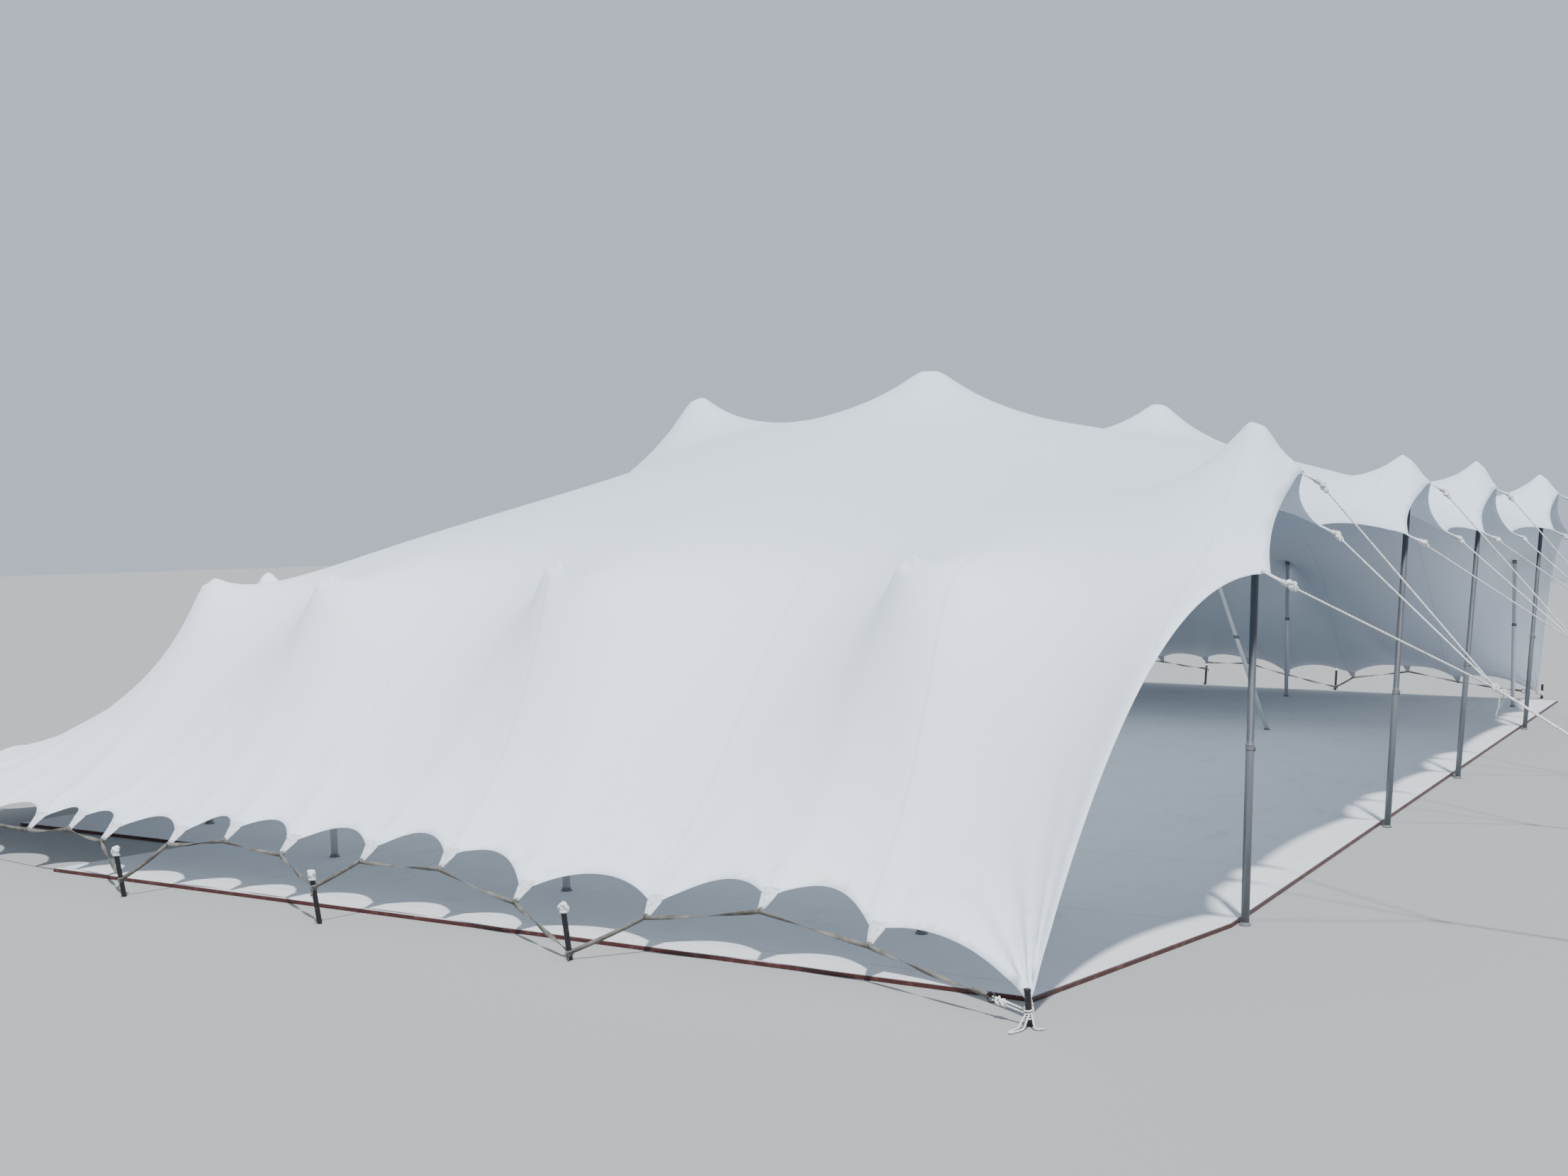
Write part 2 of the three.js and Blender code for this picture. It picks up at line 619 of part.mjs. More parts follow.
// Tie lines: webbing that zigzags from stake to tongue tips to the next stake, looped round the stakes
function tieLine(name, tipPoints, stakePoints, out) {
  const lean = out.map((value) => value * STAKE_LEAN);
  const stops = [
    ...tipPoints.map((i) => hem[i]).map(([x, y, z]) => [
      x + out[0] * TIP_CLEARANCE,
      y + out[1] * TIP_CLEARANCE,
      z,
    ]),
    ...stakePoints.map(({ x, y, loop }) => [x + lean[0] * loop, y + lean[1] * loop, loop]),
  ];
  const along = out[0] === 0 ? 0 : 1;
  stops.sort((a, b) => a[along] - b[along]);
  const section = [[-1, -1], [1, -1], [1, 1], [-1, 1]];
  const vertices = stops.flatMap(([x, y, z]) => section.map(([side, up]) => [
    x + side * out[0] * WEBBING_THICK * 0.5,
    y + side * out[1] * WEBBING_THICK * 0.5,
    z + up * WEBBING_WIDTH * 0.5,
  ]));
  const last = (stops.length - 1) * section.length;
  const triangles = [[0, 2, 1], [0, 3, 2], [last, last + 1, last + 2], [last, last + 2, last + 3]];
  for (let i = 0; i < stops.length - 1; i += 1) {
    for (let k = 0; k < section.length; k += 1) {
      const [a, b] = [i * 4 + k, i * 4 + ((k + 1) % 4)];
      triangles.push([a, b, b + 4], [a, b + 4, a + 4]);
    }
  }
  const webbing = toSolid(geometryFrom(vertices, facingOut(vertices, triangles)));
  const stakes = stakePoints.map(({ x, y, height }) => stake(x, y, lean, height));
  addPiece(name, fromSolid(wasm.Manifold.union([webbing, ...stakes])), webbingGrey);
}

// Turns every triangle round where the closed shape they make has a negative volume
function facingOut(vertices, triangles) {
  const volume = triangles.reduce((sum, [a, b, c]) => {
    const [pa, pb, pc] = [a, b, c].map((i) => new THREE.Vector3(...vertices[i]));
    return sum + pa.dot(pb.cross(pc));
  }, 0);
  return volume > 0 ? triangles : triangles.map(([a, b, c]) => [a, c, b]);
}

function knot(at) {
  const geometry = new THREE.OctahedronGeometry(KNOT.radius, 0);
  geometry.translate(...at);
  return toSolid(geometry);
}

const cornerStake = { loop: CORNER_LOOP, height: CORNER_STAKE_HEIGHT };
const nearStakes = [
  { x: OPEN_CORNER[0] + CORNER_ASIDE, y: OPEN_CORNER[1] - CORNER_OUT, ...cornerStake },
  ...NEAR_STAKES.map(([x, y], i) => ({ x, y, loop: NEAR_LOOPS[i], height: STAKE_HEIGHT })),
  { x: LEFT_CORNER[0] - CORNER_OUT, y: LEFT_CORNER[1] - CORNER_OUT, ...cornerStake },
];
const farStakes = nearStakes.map((post) => ({ ...post, y: mirrored(post.y) }));
tieLine('near_tie_line', tips.near, nearStakes, [0, -1]);
tieLine('far_tie_line', tips.far, farStakes, [0, 1]);
const leftStakes = [];
for (let i = LEFT_STAKE_EVERY / 2; i < LEFT_TIES; i += LEFT_STAKE_EVERY) {
  const y = lerp(LEFT_CORNER[1], mirrored(LEFT_CORNER[1]), (i + 0.5) / LEFT_TIES);
  leftStakes.push({ x: LEFT_CORNER[0] - STAKE_OUT, y, loop: LEFT_LOOP, height: STAKE_HEIGHT });
}
tieLine('left_tie_line', tips.left, leftStakes, [-1, 0]);

// Guys: from the two low tongues and the high one to a knot, then a pair of ropes to the stake
POLES.slice(0, 4).forEach((pole, i) => {
  const y = pole.head[1];
  const knotAt = [KNOT.x, y, KNOT.z];
  const anchor = [GUY_STAKE_X - STAKE_RADIUS, y, LOOP_HEIGHT];
  const starts = tips.open.slice((3 - i) * 3, (4 - i) * 3).map((index) => {
    const toKnot = new THREE.Vector3(...knotAt).sub(new THREE.Vector3(...hem[index])).normalize();
    const middle = new THREE.Vector3(...hem[index]).addScaledVector(normals[index], -CLOTH / 2);
    const clear = (CLOTH / 2) * Math.abs(toKnot.dot(normals[index])) + GAP;
    return middle.addScaledVector(toKnot, clear).toArray();
  });
  const strands = starts.map((start) => ropeBetween(start, knotAt));
  const pair = [-1, 1].map((sign) => ropeBetween(
    [knotAt[0], y + sign * ROPE_PAIR, knotAt[2]],
    [anchor[0], y + sign * ROPE_PAIR, anchor[2]],
  ));
  const rope = wasm.Manifold.union([...strands, ...pair, knot(knotAt), knot(anchor)]);
  const post = stake(GUY_STAKE_X, y, [STAKE_LEAN, 0]);
  const cut = rope.subtract(stake(GUY_STAKE_X - GAP, y, [STAKE_LEAN, 0]));
  addPiece(`guy_rope_${i + 1}`, fromSolid(cut), ropeWhite);
  addPiece(`guy_stake_${i + 1}`, fromSolid(post), stakeSteel);
});

export default root;
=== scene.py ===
import math

import bpy
import numpy as np
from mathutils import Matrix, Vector
from mathutils.geometry import delaunay_2d_cdt
from mathutils.kdtree import KDTree


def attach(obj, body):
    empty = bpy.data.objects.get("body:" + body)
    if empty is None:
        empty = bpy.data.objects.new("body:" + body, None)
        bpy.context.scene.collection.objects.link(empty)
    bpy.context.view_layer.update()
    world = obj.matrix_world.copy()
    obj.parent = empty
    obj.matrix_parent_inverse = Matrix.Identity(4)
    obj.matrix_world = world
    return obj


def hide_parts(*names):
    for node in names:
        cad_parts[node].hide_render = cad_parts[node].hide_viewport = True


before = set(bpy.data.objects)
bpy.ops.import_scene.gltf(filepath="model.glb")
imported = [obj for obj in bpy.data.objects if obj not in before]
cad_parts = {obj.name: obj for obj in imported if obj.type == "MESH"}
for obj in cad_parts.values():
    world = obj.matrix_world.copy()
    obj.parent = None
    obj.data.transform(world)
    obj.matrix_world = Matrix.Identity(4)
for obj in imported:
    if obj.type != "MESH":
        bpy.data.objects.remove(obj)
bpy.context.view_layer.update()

# The view: a camera at eye height on the lawn, off the tent's front corner. It looks along the open side and
# a little down, through a lens of moderate angle, and nothing is out of focus.
PHOTO_WIDTH = 2212
FOCAL_PIXELS = 2650
SENSOR_WIDTH = 36
LOOK_DOWN = 2.17
LOOK_LEFT = 29


def linked(name, data):
    thing = bpy.data.objects.new(name, data)
    bpy.context.collection.objects.link(thing)
    return thing


camera_data = bpy.data.cameras.new("view")
camera_data.sensor_width = SENSOR_WIDTH
camera_data.lens = SENSOR_WIDTH * FOCAL_PIXELS / PHOTO_WIDTH
camera = linked("view", camera_data)
camera.location = (8.09, -18.44, 2.55)
camera.rotation_euler = (math.radians(90 - LOOK_DOWN), 0, math.radians(LOOK_LEFT))
bpy.context.scene.camera = camera

# The floor: film-faced boards laid side by side on the grass, their red-brown edges in view, with pale
# matting rolled out over them. The front row is shorter, and its open end is cut on a skew.
FLOOR_LENGTH = 18.5
FLOOR_LEFT = -9.4
FLOOR_RIGHT = 0.42
SKEW_END = 2.3
FRONT_ROW = 1.25
FRONT_ROW_LEFT = -7.5
FRONT_ROW_SLANT = 0.15
BAYS = 3
BOARD = 0.022
BOARD_LENGTH = 2.44
BOARD_WIDTH = 1.22
HALF_JOINT = 0.0008
THINNEST_STRIP = 0.01
MATTING = 0.003
MATTING_BED = 0.0005
MARGIN = 0.012
ROLL_WIDTH = 2.0
# All places are in metres from the floor's front corner at the open side, and y runs away along that side.
# The frame has its origin at the middle of the floor.
SHIFT = np.array([-(FLOOR_LEFT + FLOOR_RIGHT) / 2, -FLOOR_LENGTH / 2, 0.0])


def lerp(a, b, t):
    return a + (b - a) * t


def unit(vector):
    return np.array(vector, dtype=float) / np.linalg.norm(vector)


def joined(parts):
    """Several closed shapes, each as vertices and faces, put together as one."""
    vertices, faces = [], []
    for part_vertices, part_faces in parts:
        first = len(vertices)
        vertices += list(part_vertices)
        faces += [tuple(first + i for i in face) for face in part_faces]
    return vertices, faces


def link_mesh(name, parts, smooth=True):
    """A new object made of closed shapes in setting-out places."""
    vertices, faces = joined(parts)
    mesh = bpy.data.meshes.new(name)
    placed = np.asarray(vertices, dtype=float) + SHIFT
    mesh.from_pydata([tuple(v) for v in placed], [], faces)
    mesh.validate()
    mesh.update()
    mesh.polygons.foreach_set("use_smooth", [smooth] * len(mesh.polygons))
    return linked(name, mesh)


def maths(operation, reflected=False):
    def apply(wire, other):
        first, second = (other, wire) if reflected else (wire, other)
        return wire.finish.node("ShaderNodeMath", {"operation": operation}, {0: first, 1: second})

    return apply


class Wire:
    """One socket of a finish's node tree, so that its shader maths reads as plain arithmetic."""

    def __init__(self, finish, socket):
        self.finish = finish
        self.socket = socket

    __add__ = maths("ADD")
    __radd__ = maths("ADD", reflected=True)
    __sub__ = maths("SUBTRACT")
    __rsub__ = maths("SUBTRACT", reflected=True)
    __mul__ = maths("MULTIPLY")
    __rmul__ = maths("MULTIPLY", reflected=True)


class Finish:
    """A procedural material: the surface of one kind of thing on the tent."""

    def __init__(self, name, **constants):
        self.material = bpy.data.materials.new(name)
        self.material.use_nodes = True
        self.tree = self.material.node_tree
        self.shader = self.tree.nodes["Principled BSDF"]
        for socket, value in constants.items():
            self.shader.inputs[socket.replace("_", " ")].default_value = value

    def node(self, kind, settings, inputs, output=0):
        made = self.tree.nodes.new(kind)
        for name, value in settings.items():
            setattr(made, name, value)
        for name, value in inputs.items():
            if isinstance(value, Wire):
                self.tree.links.new(value.socket, made.inputs[name])
            else:
                made.inputs[name].default_value = value
        return Wire(self, made.outputs[output])

    def place(self):
        return self.node("ShaderNodeTexCoord", {}, {}, output="Object")

    def axis(self, index):
        return self.node("ShaderNodeSeparateXYZ", {}, {0: self.place()}, output=index)

    def noise(self, scale, detail=3.0, stretch=(1, 1, 1)):
        spot = self.node("ShaderNodeMapping", {}, {"Vector": self.place(), "Scale": stretch})
        return self.node("ShaderNodeTexNoise", {}, {
            "Vector": spot, "Scale": scale, "Detail": detail, "Roughness": 0.55})

    def zigzag(self, value, reach):
        """Runs from 0 up to reach and back, over and over."""
        return self.node("ShaderNodeMath", {"operation": "PINGPONG"}, {0: value, 1: reach})

    def span(self, value, low, high, start=0.0, end=1.0):
        return self.node("ShaderNodeMapRange", {"interpolation_type": "SMOOTHSTEP"}, {
            "Value": value, "From Min": low, "From Max": high, "To Min": start, "To Max": end})

    def blend(self, share, first, second):
        """Colours from first to second by a share; a colour may be a triple or a wire."""
        full = [(*c, 1) if isinstance(c, tuple) else c for c in (first, second)]
        return self.node("ShaderNodeMix", {"data_type": "RGBA"}, {0: share, 6: full[0], 7: full[1]}, output=2)

    def feed(self, socket, wire):
        self.tree.links.new(wire.socket, self.shader.inputs[socket])

    def relief(self, height, distance, strength):
        self.feed("Normal", self.node("ShaderNodeBump", {}, {
            "Height": height, "Distance": distance, "Strength": strength}))


def mottled(name, mottle, colours, relief=None, **constants):
    """A finish between two colours by a noise, which may be cut to a span, over a fine relief."""
    finish = Finish(name, **constants)
    scale, detail, *levels = mottle
    share = finish.noise(scale, detail)
    if levels:
        share = finish.span(share, *levels)
    finish.feed("Base Color", finish.blend(share, *colours))
    if relief:
        scale, detail, stretch, distance, strength = relief
        finish.relief(finish.noise(scale, detail, stretch), distance, strength)
    return finish


def dress(piece, *finishes):
    """Give a piece its finishes. The tent has no moving parts, so every piece rides on the root."""
    for finish in finishes:
        piece.data.materials.append(finish.material)
    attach(piece, "root")


def edge_at(y):
    return FLOOR_RIGHT * min(1, y / SKEW_END)


def clipped(outline, low_x, high_x, low_y, high_y):
    """The part of a convex plan outline that lies in a rectangle."""
    for axis, limit, sign in ((0, low_x, 1), (0, high_x, -1), (1, low_y, 1), (1, high_y, -1)):
        kept = []
        for a, b in zip(outline, outline[1:] + outline[:1]):
            gap_a = sign * (a[axis] - limit)
            gap_b = sign * (b[axis] - limit)
            if gap_a >= 0:
                kept.append(a)
            if gap_a * gap_b < 0:
                t = gap_a / (gap_a - gap_b)
                kept.append((lerp(a[0], b[0], t), lerp(a[1], b[1], t)))
        outline = kept
        if len(outline) < 3:
            return []
    return outline


def ring_faces(rings, sides):
    """The faces of a closed bar whose vertices come ring by ring: its wall, then its two ends."""
    wall = [
        (row + k, row + sides + k, row + sides + (k + 1) % sides, row + (k + 1) % sides)
        for row in range(0, (rings - 1) * sides, sides) for k in range(sides)]
    return [*wall, tuple(range(sides)), tuple(range(rings * sides - 1, (rings - 1) * sides - 1, -1))]


def prism(outline, bottom, top):
    vertices = [(x, y, z) for z in (bottom, top) for x, y in outline]
    return vertices, [face[::-1] for face in ring_faces(2, len(outline))]


def boards(outline):
    """Boards of stock size, with narrow joints, laid from the open side and cut to the outline."""
    left = min(x for x, y in outline)
    y = min(y for x, y in outline)
    far = max(y for x, y in outline)
    parts = []
    row = 0
    while y < far - THINNEST_STRIP:
        right = FLOOR_RIGHT + (row % 2) * BOARD_LENGTH / 2
        while right > left:
            board = clipped(
                outline, right - BOARD_LENGTH + HALF_JOINT, right - HALF_JOINT,
                y + HALF_JOINT, y + BOARD_WIDTH - HALF_JOINT)
            if board:
                parts.append(prism(board, 0, BOARD))
            right -= BOARD_LENGTH
        y += BOARD_WIDTH
        row += 1
    return parts


board_finish = mottled(
    "film_faced_board", (16.0, 5.0, 0.5, 0.72), ((0.062, 0.014, 0.013), (0.12, 0.05, 0.038)),
    (200.0, 2.0, (1, 1, 4), 0.0006, 0.5), Roughness=0.45, Specular_IOR_Level=0.45)
floor_parts = {"floor_front_row": [
    (0, 0), (edge_at(FRONT_ROW), FRONT_ROW), (FRONT_ROW_LEFT + FRONT_ROW_SLANT, FRONT_ROW),
    (FRONT_ROW_LEFT, 0)]}
for i in range(BAYS):
    start, end = (lerp(FRONT_ROW, FLOOR_LENGTH, share) for share in (i / BAYS, (i + 1) / BAYS))
    right = [(edge_at(start), start), (FLOOR_RIGHT, SKEW_END)] if i == 0 else [(FLOOR_RIGHT, start)]
    floor_parts[f"floor_bay_{i + 1}"] = [*right, (FLOOR_RIGHT, end), (FLOOR_LEFT, end), (FLOOR_LEFT, start)]
for name, outline in floor_parts.items():
    deck = link_mesh(name + "_boards", boards(outline), smooth=False)
    dress(deck, board_finish)
    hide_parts(name)

matting_outline = [
    (-MARGIN, MARGIN), (FLOOR_RIGHT - MARGIN, SKEW_END), (FLOOR_RIGHT - MARGIN, FLOOR_LENGTH - MARGIN),
    (FLOOR_LEFT + MARGIN, FLOOR_LENGTH - MARGIN), (FLOOR_LEFT + MARGIN, FRONT_ROW + MARGIN),
    (FRONT_ROW_LEFT + FRONT_ROW_SLANT + MARGIN, FRONT_ROW + MARGIN), (FRONT_ROW_LEFT + MARGIN, MARGIN)]
matting = link_mesh("matting", [prism(matting_outline, BOARD + MATTING_BED, BOARD + MATTING)], smooth=False)
rolls = Finish("matting", Roughness=0.93, Specular_IOR_Level=0.15)
roll_joint = rolls.span(rolls.zigzag(rolls.axis(1), ROLL_WIDTH / 2), 0.992, 0.997)
tint = rolls.blend(rolls.noise(1.3, 5.0), (0.60, 0.62, 0.63), (0.69, 0.705, 0.715))
scuffs = rolls.span(rolls.noise(5.0, 6.0, (1, 0.4, 1)), 0.55, 0.8)
tint = rolls.blend(scuffs * 0.4, tint, (0.45, 0.44, 0.40))
rolls.feed("Base Color", rolls.blend(roll_joint * 0.5, tint, (0.32, 0.31, 0.29)))
rolls.relief(rolls.noise(600.0, 2.0) + roll_joint * -2, 0.0006, 0.6)
dress(matting, rolls)
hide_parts("floor_matting")

# The poles: two-part telescopic aluminium tubes. Each has a black foot, a dark clamp collar and its lever
# at waist height, where the tubes slide, and a grey rubber head that spreads the load into the cloth.
POLES = {  # the foot's place, the head's height, and how far the head leans along x
    "open_side_pole_1": (0.47, 2.4, 3.12, 0.06),
    "open_side_pole_2": (0.49, 6.65, 3.0, 0.15),
    "open_side_pole_3": (0.5, 9.97, 3.0, 0.2),
    "open_side_pole_4": (0.48, 14.79, 3.0, 0.19),
    "near_pole_1": (-1.15, 1.1, 2.24, -0.115),
    "near_pole_2": (-3.8, 1.13, 2.18, -0.105),
    "near_pole_3": (-6.05, 1.33, 2.04, -0.09),
    "near_corner_pole": (-8.0, 1.98, 1.99, 0),
    "left_pole_1": (-9.3, 3.94, 1.95, 0),
    "left_pole_2": (-9.3, 7.45, 2.12, 0),
    "left_pole_3": (-9.3, 11.05, 2.12, 0),
    "left_pole_4": (-9.3, 14.56, 2.12, 0),
    "far_corner_pole": (-8.0, 16.52, 1.95, 0),
    "far_pole_1": (-6.0, 17.17, 1.95, 0),
    "far_pole_2": (-3.0, 17.3, 1.935, 0),
    "far_pole_3": (0.0, 17.3, 1.985, 0),
    "tall_pole_1": (-7.0, 8.0, 3.79, 0),
    "tall_pole_2": (-3.8, 7.0, 3.92, 0),
    "tall_pole_3": (-2.15, 13.0, 3.9, -1.35),
    "tall_pole_4": (-7.0, 13.2, 3.35, 0),
}
CLOTH = 0.0025
TALL_CAP = 0.058
LOW_CAP = 0.034
TALL_HEAD = 0.0465
LOW_HEAD = 0.03
LOW_HEAD_SINK = 0.004
LOWER_TUBE = 0.0265
UPPER_TUBE = 0.0235
COLLAR_HEIGHT = 1.12
POLE_SIDES = 36
CONTACT_GAP = 0.0006


def turned(profile, foot, head, sides):
    """A turned shape, leaned by shearing so that its foot and its head stay level."""
    low = np.array(foot)
    slope = (np.array(head) - low) / (head[2] - foot[2])
    turns = [k * 2 * math.pi / sides for k in range(sides)]
    vertices = [
        low + slope * height + (radius * math.cos(turn), radius * math.sin(turn), 0)
        for radius, height in profile for turn in turns]
    return vertices, [face[::-1] for face in ring_faces(len(profile), sides)]


def swept(path, outline_at, up=(0, 0, 1)):
    """A closed bar along a path; outline_at(length) gives its cross-section, as places across and up."""
    path = np.asarray(path, dtype=float)
    lengths = np.concatenate([[0], np.cumsum(np.linalg.norm(np.diff(path, axis=0), axis=1))])
    tangents = np.gradient(path, axis=0)
    tangents /= np.linalg.norm(tangents, axis=1)[:, None]
    up = np.array(up, dtype=float)
    vertices = []
    for point, tangent, length in zip(path, tangents, lengths):
        up = unit(up - tangent * (up @ tangent))
        across = np.cross(tangent, up)
        vertices += [point + across * a + up * b for a, b in outline_at(length)]
    return vertices, ring_faces(len(path), len(vertices) // len(path))


def strap(path, width, thickness, up=(0, 0, 1), turns_per_metre=0.0):
    """A flat strap along a path, which may turn slowly about its own line."""
    corners = [(-width, -thickness), (width, -thickness), (width, thickness), (-width, thickness)]

    def outline(length):
        angle = length * turns_per_metre * 2 * math.pi
        c, s = math.cos(angle) / 2, math.sin(angle) / 2
        return [(a * c - b * s, a * s + b * c) for a, b in corners]

    return swept(path, outline, up)


bright_tube = Finish("pole_aluminium", Metallic=0.2)
# The open-side tubes are given a dark grey: painted reflection of the dark lawn and trees round them, over
# the grey of the aluminium.
reflection_dark_tube = Finish("painted_reflection_pole_aluminium", Metallic=0.35)
for finish, dark, light in (
        (bright_tube, (0.58, 0.60, 0.61), (0.74, 0.75, 0.76)),
        (reflection_dark_tube, (0.13, 0.145, 0.16), (0.24, 0.255, 0.27))):
    streak = finish.noise(14.0, 4.0, (1, 1, 0.06))
    metal = finish.blend(streak, dark, light)
    if finish is reflection_dark_tube:
        # Above the collar the tube is darker still: painted shade of the canopy's hood falling over the upper
        # tube.
        painted_hood_shade = finish.span(finish.axis(2), COLLAR_HEIGHT, COLLAR_HEIGHT + 0.05)
        metal = finish.blend(painted_hood_shade, metal, finish.blend(streak, (0.07, 0.078, 0.092), (0.14, 0.15, 0.165)))
    finish.feed("Base Color", metal)
    finish.feed("Roughness", finish.span(finish.noise(60.0, 4.0, (1, 1, 0.2)), 0.2, 0.8, 0.3, 0.55))
clamp = mottled("clamp_black", (90.0, 3.0), ((0.12, 0.125, 0.13), (0.21, 0.215, 0.22)), Roughness=0.5)
rubber = mottled("head_rubber", (70.0, 3.0), ((0.13, 0.137, 0.142), (0.21, 0.217, 0.22)), Roughness=0.8)
for name, (x, y, height, lean) in POLES.items():
    on_floor = not name.startswith("open_side")
    is_tall = name.startswith("tall")
    aluminium = bright_tube if on_floor else reflection_dark_tube
    bottom = BOARD + MATTING + CONTACT_GAP if on_floor else 0.0
    top = height - CLOTH - CONTACT_GAP
    length = top - bottom
    low = np.array((x, y, bottom))
    high = np.array((x + lean, y, top))
    collar = COLLAR_HEIGHT - bottom
    rim = TALL_HEAD if is_tall else LOW_HEAD
    sink = 0 if is_tall else LOW_HEAD_SINK
    tubes = [
        (0, 0.011), (LOWER_TUBE, 0.011), (LOWER_TUBE, collar - 0.004), (LOWER_TUBE - 0.0015, collar),
        (UPPER_TUBE, collar), (UPPER_TUBE, length - 0.04), (0, length - 0.04)]
    footing = [
        (0, 0), (0.036, 0), (0.0385, 0.002), (0.0385, 0.006), (0.036, 0.008), (0.031, 0.009), (0.0295, 0.011),
        (0.0295, 0.019), (0.0288, 0.021), (0.0268, 0.021), (0.0268, 0.015), (0, 0.015)]
    gripping = [(radius, collar + rise) for radius, rise in (
        (0.0237, -0.02), (0.0272, -0.02), (0.0282, -0.018), (0.0282, -0.004), (0.0275, -0.002),
        (0.0275, 0.007), (0.0282, 0.009), (0.0282, 0.016), (0.0272, 0.018), (0.0237, 0.018))]
    spreading = [
        (0, length - 0.052), (0.0255, length - 0.052), (0.027, length - 0.05), (0.028, length - 0.04),
        (rim * 0.95, length - 0.028), (rim, length - 0.022), (rim, length - 0.014 - sink),
        (rim * 0.92, length - 0.008 - sink * 0.75), (rim * 0.7, length - 0.004 - sink * 0.4),
        (rim * 0.35, length - 0.001 - sink * 0.1), (0, length)]
    slope = (high - low) / length
    lever = [
        low + slope * height + (reach, 0, 0)
        for reach, height in ((0.0295, collar - 0.026), (0.031, collar - 0.004), (0.03, collar + 0.015))]
    shapes = [
        (turned(profile, low, high, POLE_SIDES), finish)
        for profile, finish in ((tubes, aluminium), (footing, clamp), (gripping, clamp), (spreading, rubber))]
    shapes.append((strap(lever, 0.016, 0.007, (1, 0, 0)), clamp))
    pole = link_mesh(name + "_tube", [shape for shape, finish in shapes])
    finishes = [aluminium, clamp, rubber]
    dress(pole, *finishes)
    face_finishes = [finishes.index(finish) for shape, finish in shapes for face in shape[1]]
    pole.data.polygons.foreach_set("material_index", face_finishes)
    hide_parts(name)

# The canopy: one sheet of white coated stretch cloth, welded up from lengthwise strips. It is pulled out
# over the poles and tied down through gathered tongues along its hem, which bows in between them.
NEAR_TIES = [
    (-0.91, 0, 0.22), (-1.59, 0, 0.34), (-2.36, 0, 0.225), (-3.3, 0, 0.22), (-3.88, 0, 0.37),
    (-4.52, 0, 0.36), (-5.2, 0, 0.345), (-5.71, 0, 0.39), (-6.23, 0, 0.32), (-6.88, 0, 0.29),
    (-7.25, 0.03, 0.34), (-7.71, 0.06, 0.295), (-8.35, 0.16, 0.3), (-8.95, 0.29, 0.33), (-9.5, 0.45, 0.26),
]
LEFT_TIES = 20
LEFT_TIP_HEIGHT = 0.4
LEFT_TIP_VARIES = 0.04
OPEN_CORNER = (0.12, -0.35, 0.09)
LEFT_CORNER = (-10.1, 0.7, 0.09)
HIGH_TIES = [(0.8, 2.4, 2.82), (0.8, 6.65, 2.82), (0.83, 9.97, 2.82), (0.83, 14.79, 2.82)]
LOW_BEFORE = [(0.83, 1.5, 2.23), (0.79, 5.75, 2.42), (0.84, 9.12, 2.41), (0.88, 13.89, 2.4)]
LOW_BEHIND = [(0.72, 3.2, 2.5), (0.78, 7.5, 2.43), (0.84, 10.9, 2.4), (0.85, 15.7, 2.35)]
TONGUE_HALF_WIDTH = 0.048
TONGUE_LENGTH = 0.1
TIE_ROOT_RISE = 0.085
OPEN_TONGUE_DROP = 0.06
SCALLOP_INSET = 0.13
TIGHT_INSET = 0.05
TIGHT_RISE = 0.1
ARCH_INSET = 0.07
OPEN_HEM_INSET = 0.06
OPEN_HEM_RISE = 0.04
SWEEP_POWER = 2.3
SWEEP_STEPS = 64
HEM_STEP = 0.03
HEM_CLEARANCE = 0.025
BOW_PARTS = 6

hem = []          # plan place and height of each point of the cloth's edge
held = []         # the places the cloth is held at, which its surface passes through
ties = {"near": [], "left": [], "far": [], "open": []}


def mirrored(y):
    return FLOOR_LENGTH - y


def edge_point(place, holds):
    hem.append(place)
    if holds:
        held.append(place)


def bow(to, inward, inset, rise):
    """The edge bowing in to the next tie; a slack edge has no rise and lies where the surface is."""
    start = np.array(hem[-1])
    steps = max(4, int(math.dist(start[:2], to[:2]) / HEM_STEP))
    holding = {round(steps * k / BOW_PARTS) for k in range(1, BOW_PARTS)}
    aside = np.array((inward[0] * inset, inward[1] * inset, rise or 0))
    for i in range(1, steps):
        t = i / steps
        place = lerp(start, np.array(to), t) + aside * 4 * t * (1 - t)
        edge_point(tuple(place), rise is not None and i in holding)


def tie(side, root, out, drop):
    """The root of one tongue: both of its shoulders hold the cloth."""
    x, y, z = root
    for reach in (TONGUE_HALF_WIDTH, 0, -TONGUE_HALF_WIDTH):
        edge_point((x - reach * out[1], y + reach * out[0], z), reach != 0)
    tip = (x + out[0] * TONGUE_LENGTH, y + out[1] * TONGUE_LENGTH, z - drop)
    ties[side].append((np.array(root), np.array(tip), np.array(out)))


def tied_side(side, places, out, corner):
    """The hem of one tied side. Next to each corner the edge is pulled tight, and so it hardly bows."""
    inward = (-out[0], -out[1])
    for k, (x, y, tip_height) in enumerate(places):
        z = tip_height + TIE_ROOT_RISE
        shoulder = (x - out[1] * TONGUE_HALF_WIDTH, y + out[0] * TONGUE_HALF_WIDTH, z)
        inset, rise = (TIGHT_INSET, TIGHT_RISE) if k == 0 else (SCALLOP_INSET, None)
        bow(shoulder, inward, inset, rise)
        tie(side, (x, y, z), out, TIE_ROOT_RISE)
    bow(corner, inward, TIGHT_INSET, TIGHT_RISE)
    edge_point(corner, True)


def sweep(ground, tab, steps):
    """The free edge between a ground corner and the nearest open-side pole; every other point is held."""
    for i in steps:
        t = i / SWEEP_STEPS
        shares = (t, t, 1 - (1 - t) ** SWEEP_POWER)
        edge_point(tuple(lerp(a, b, share) for a, b, share in zip(ground, tab, shares)), i % 2 == 0)


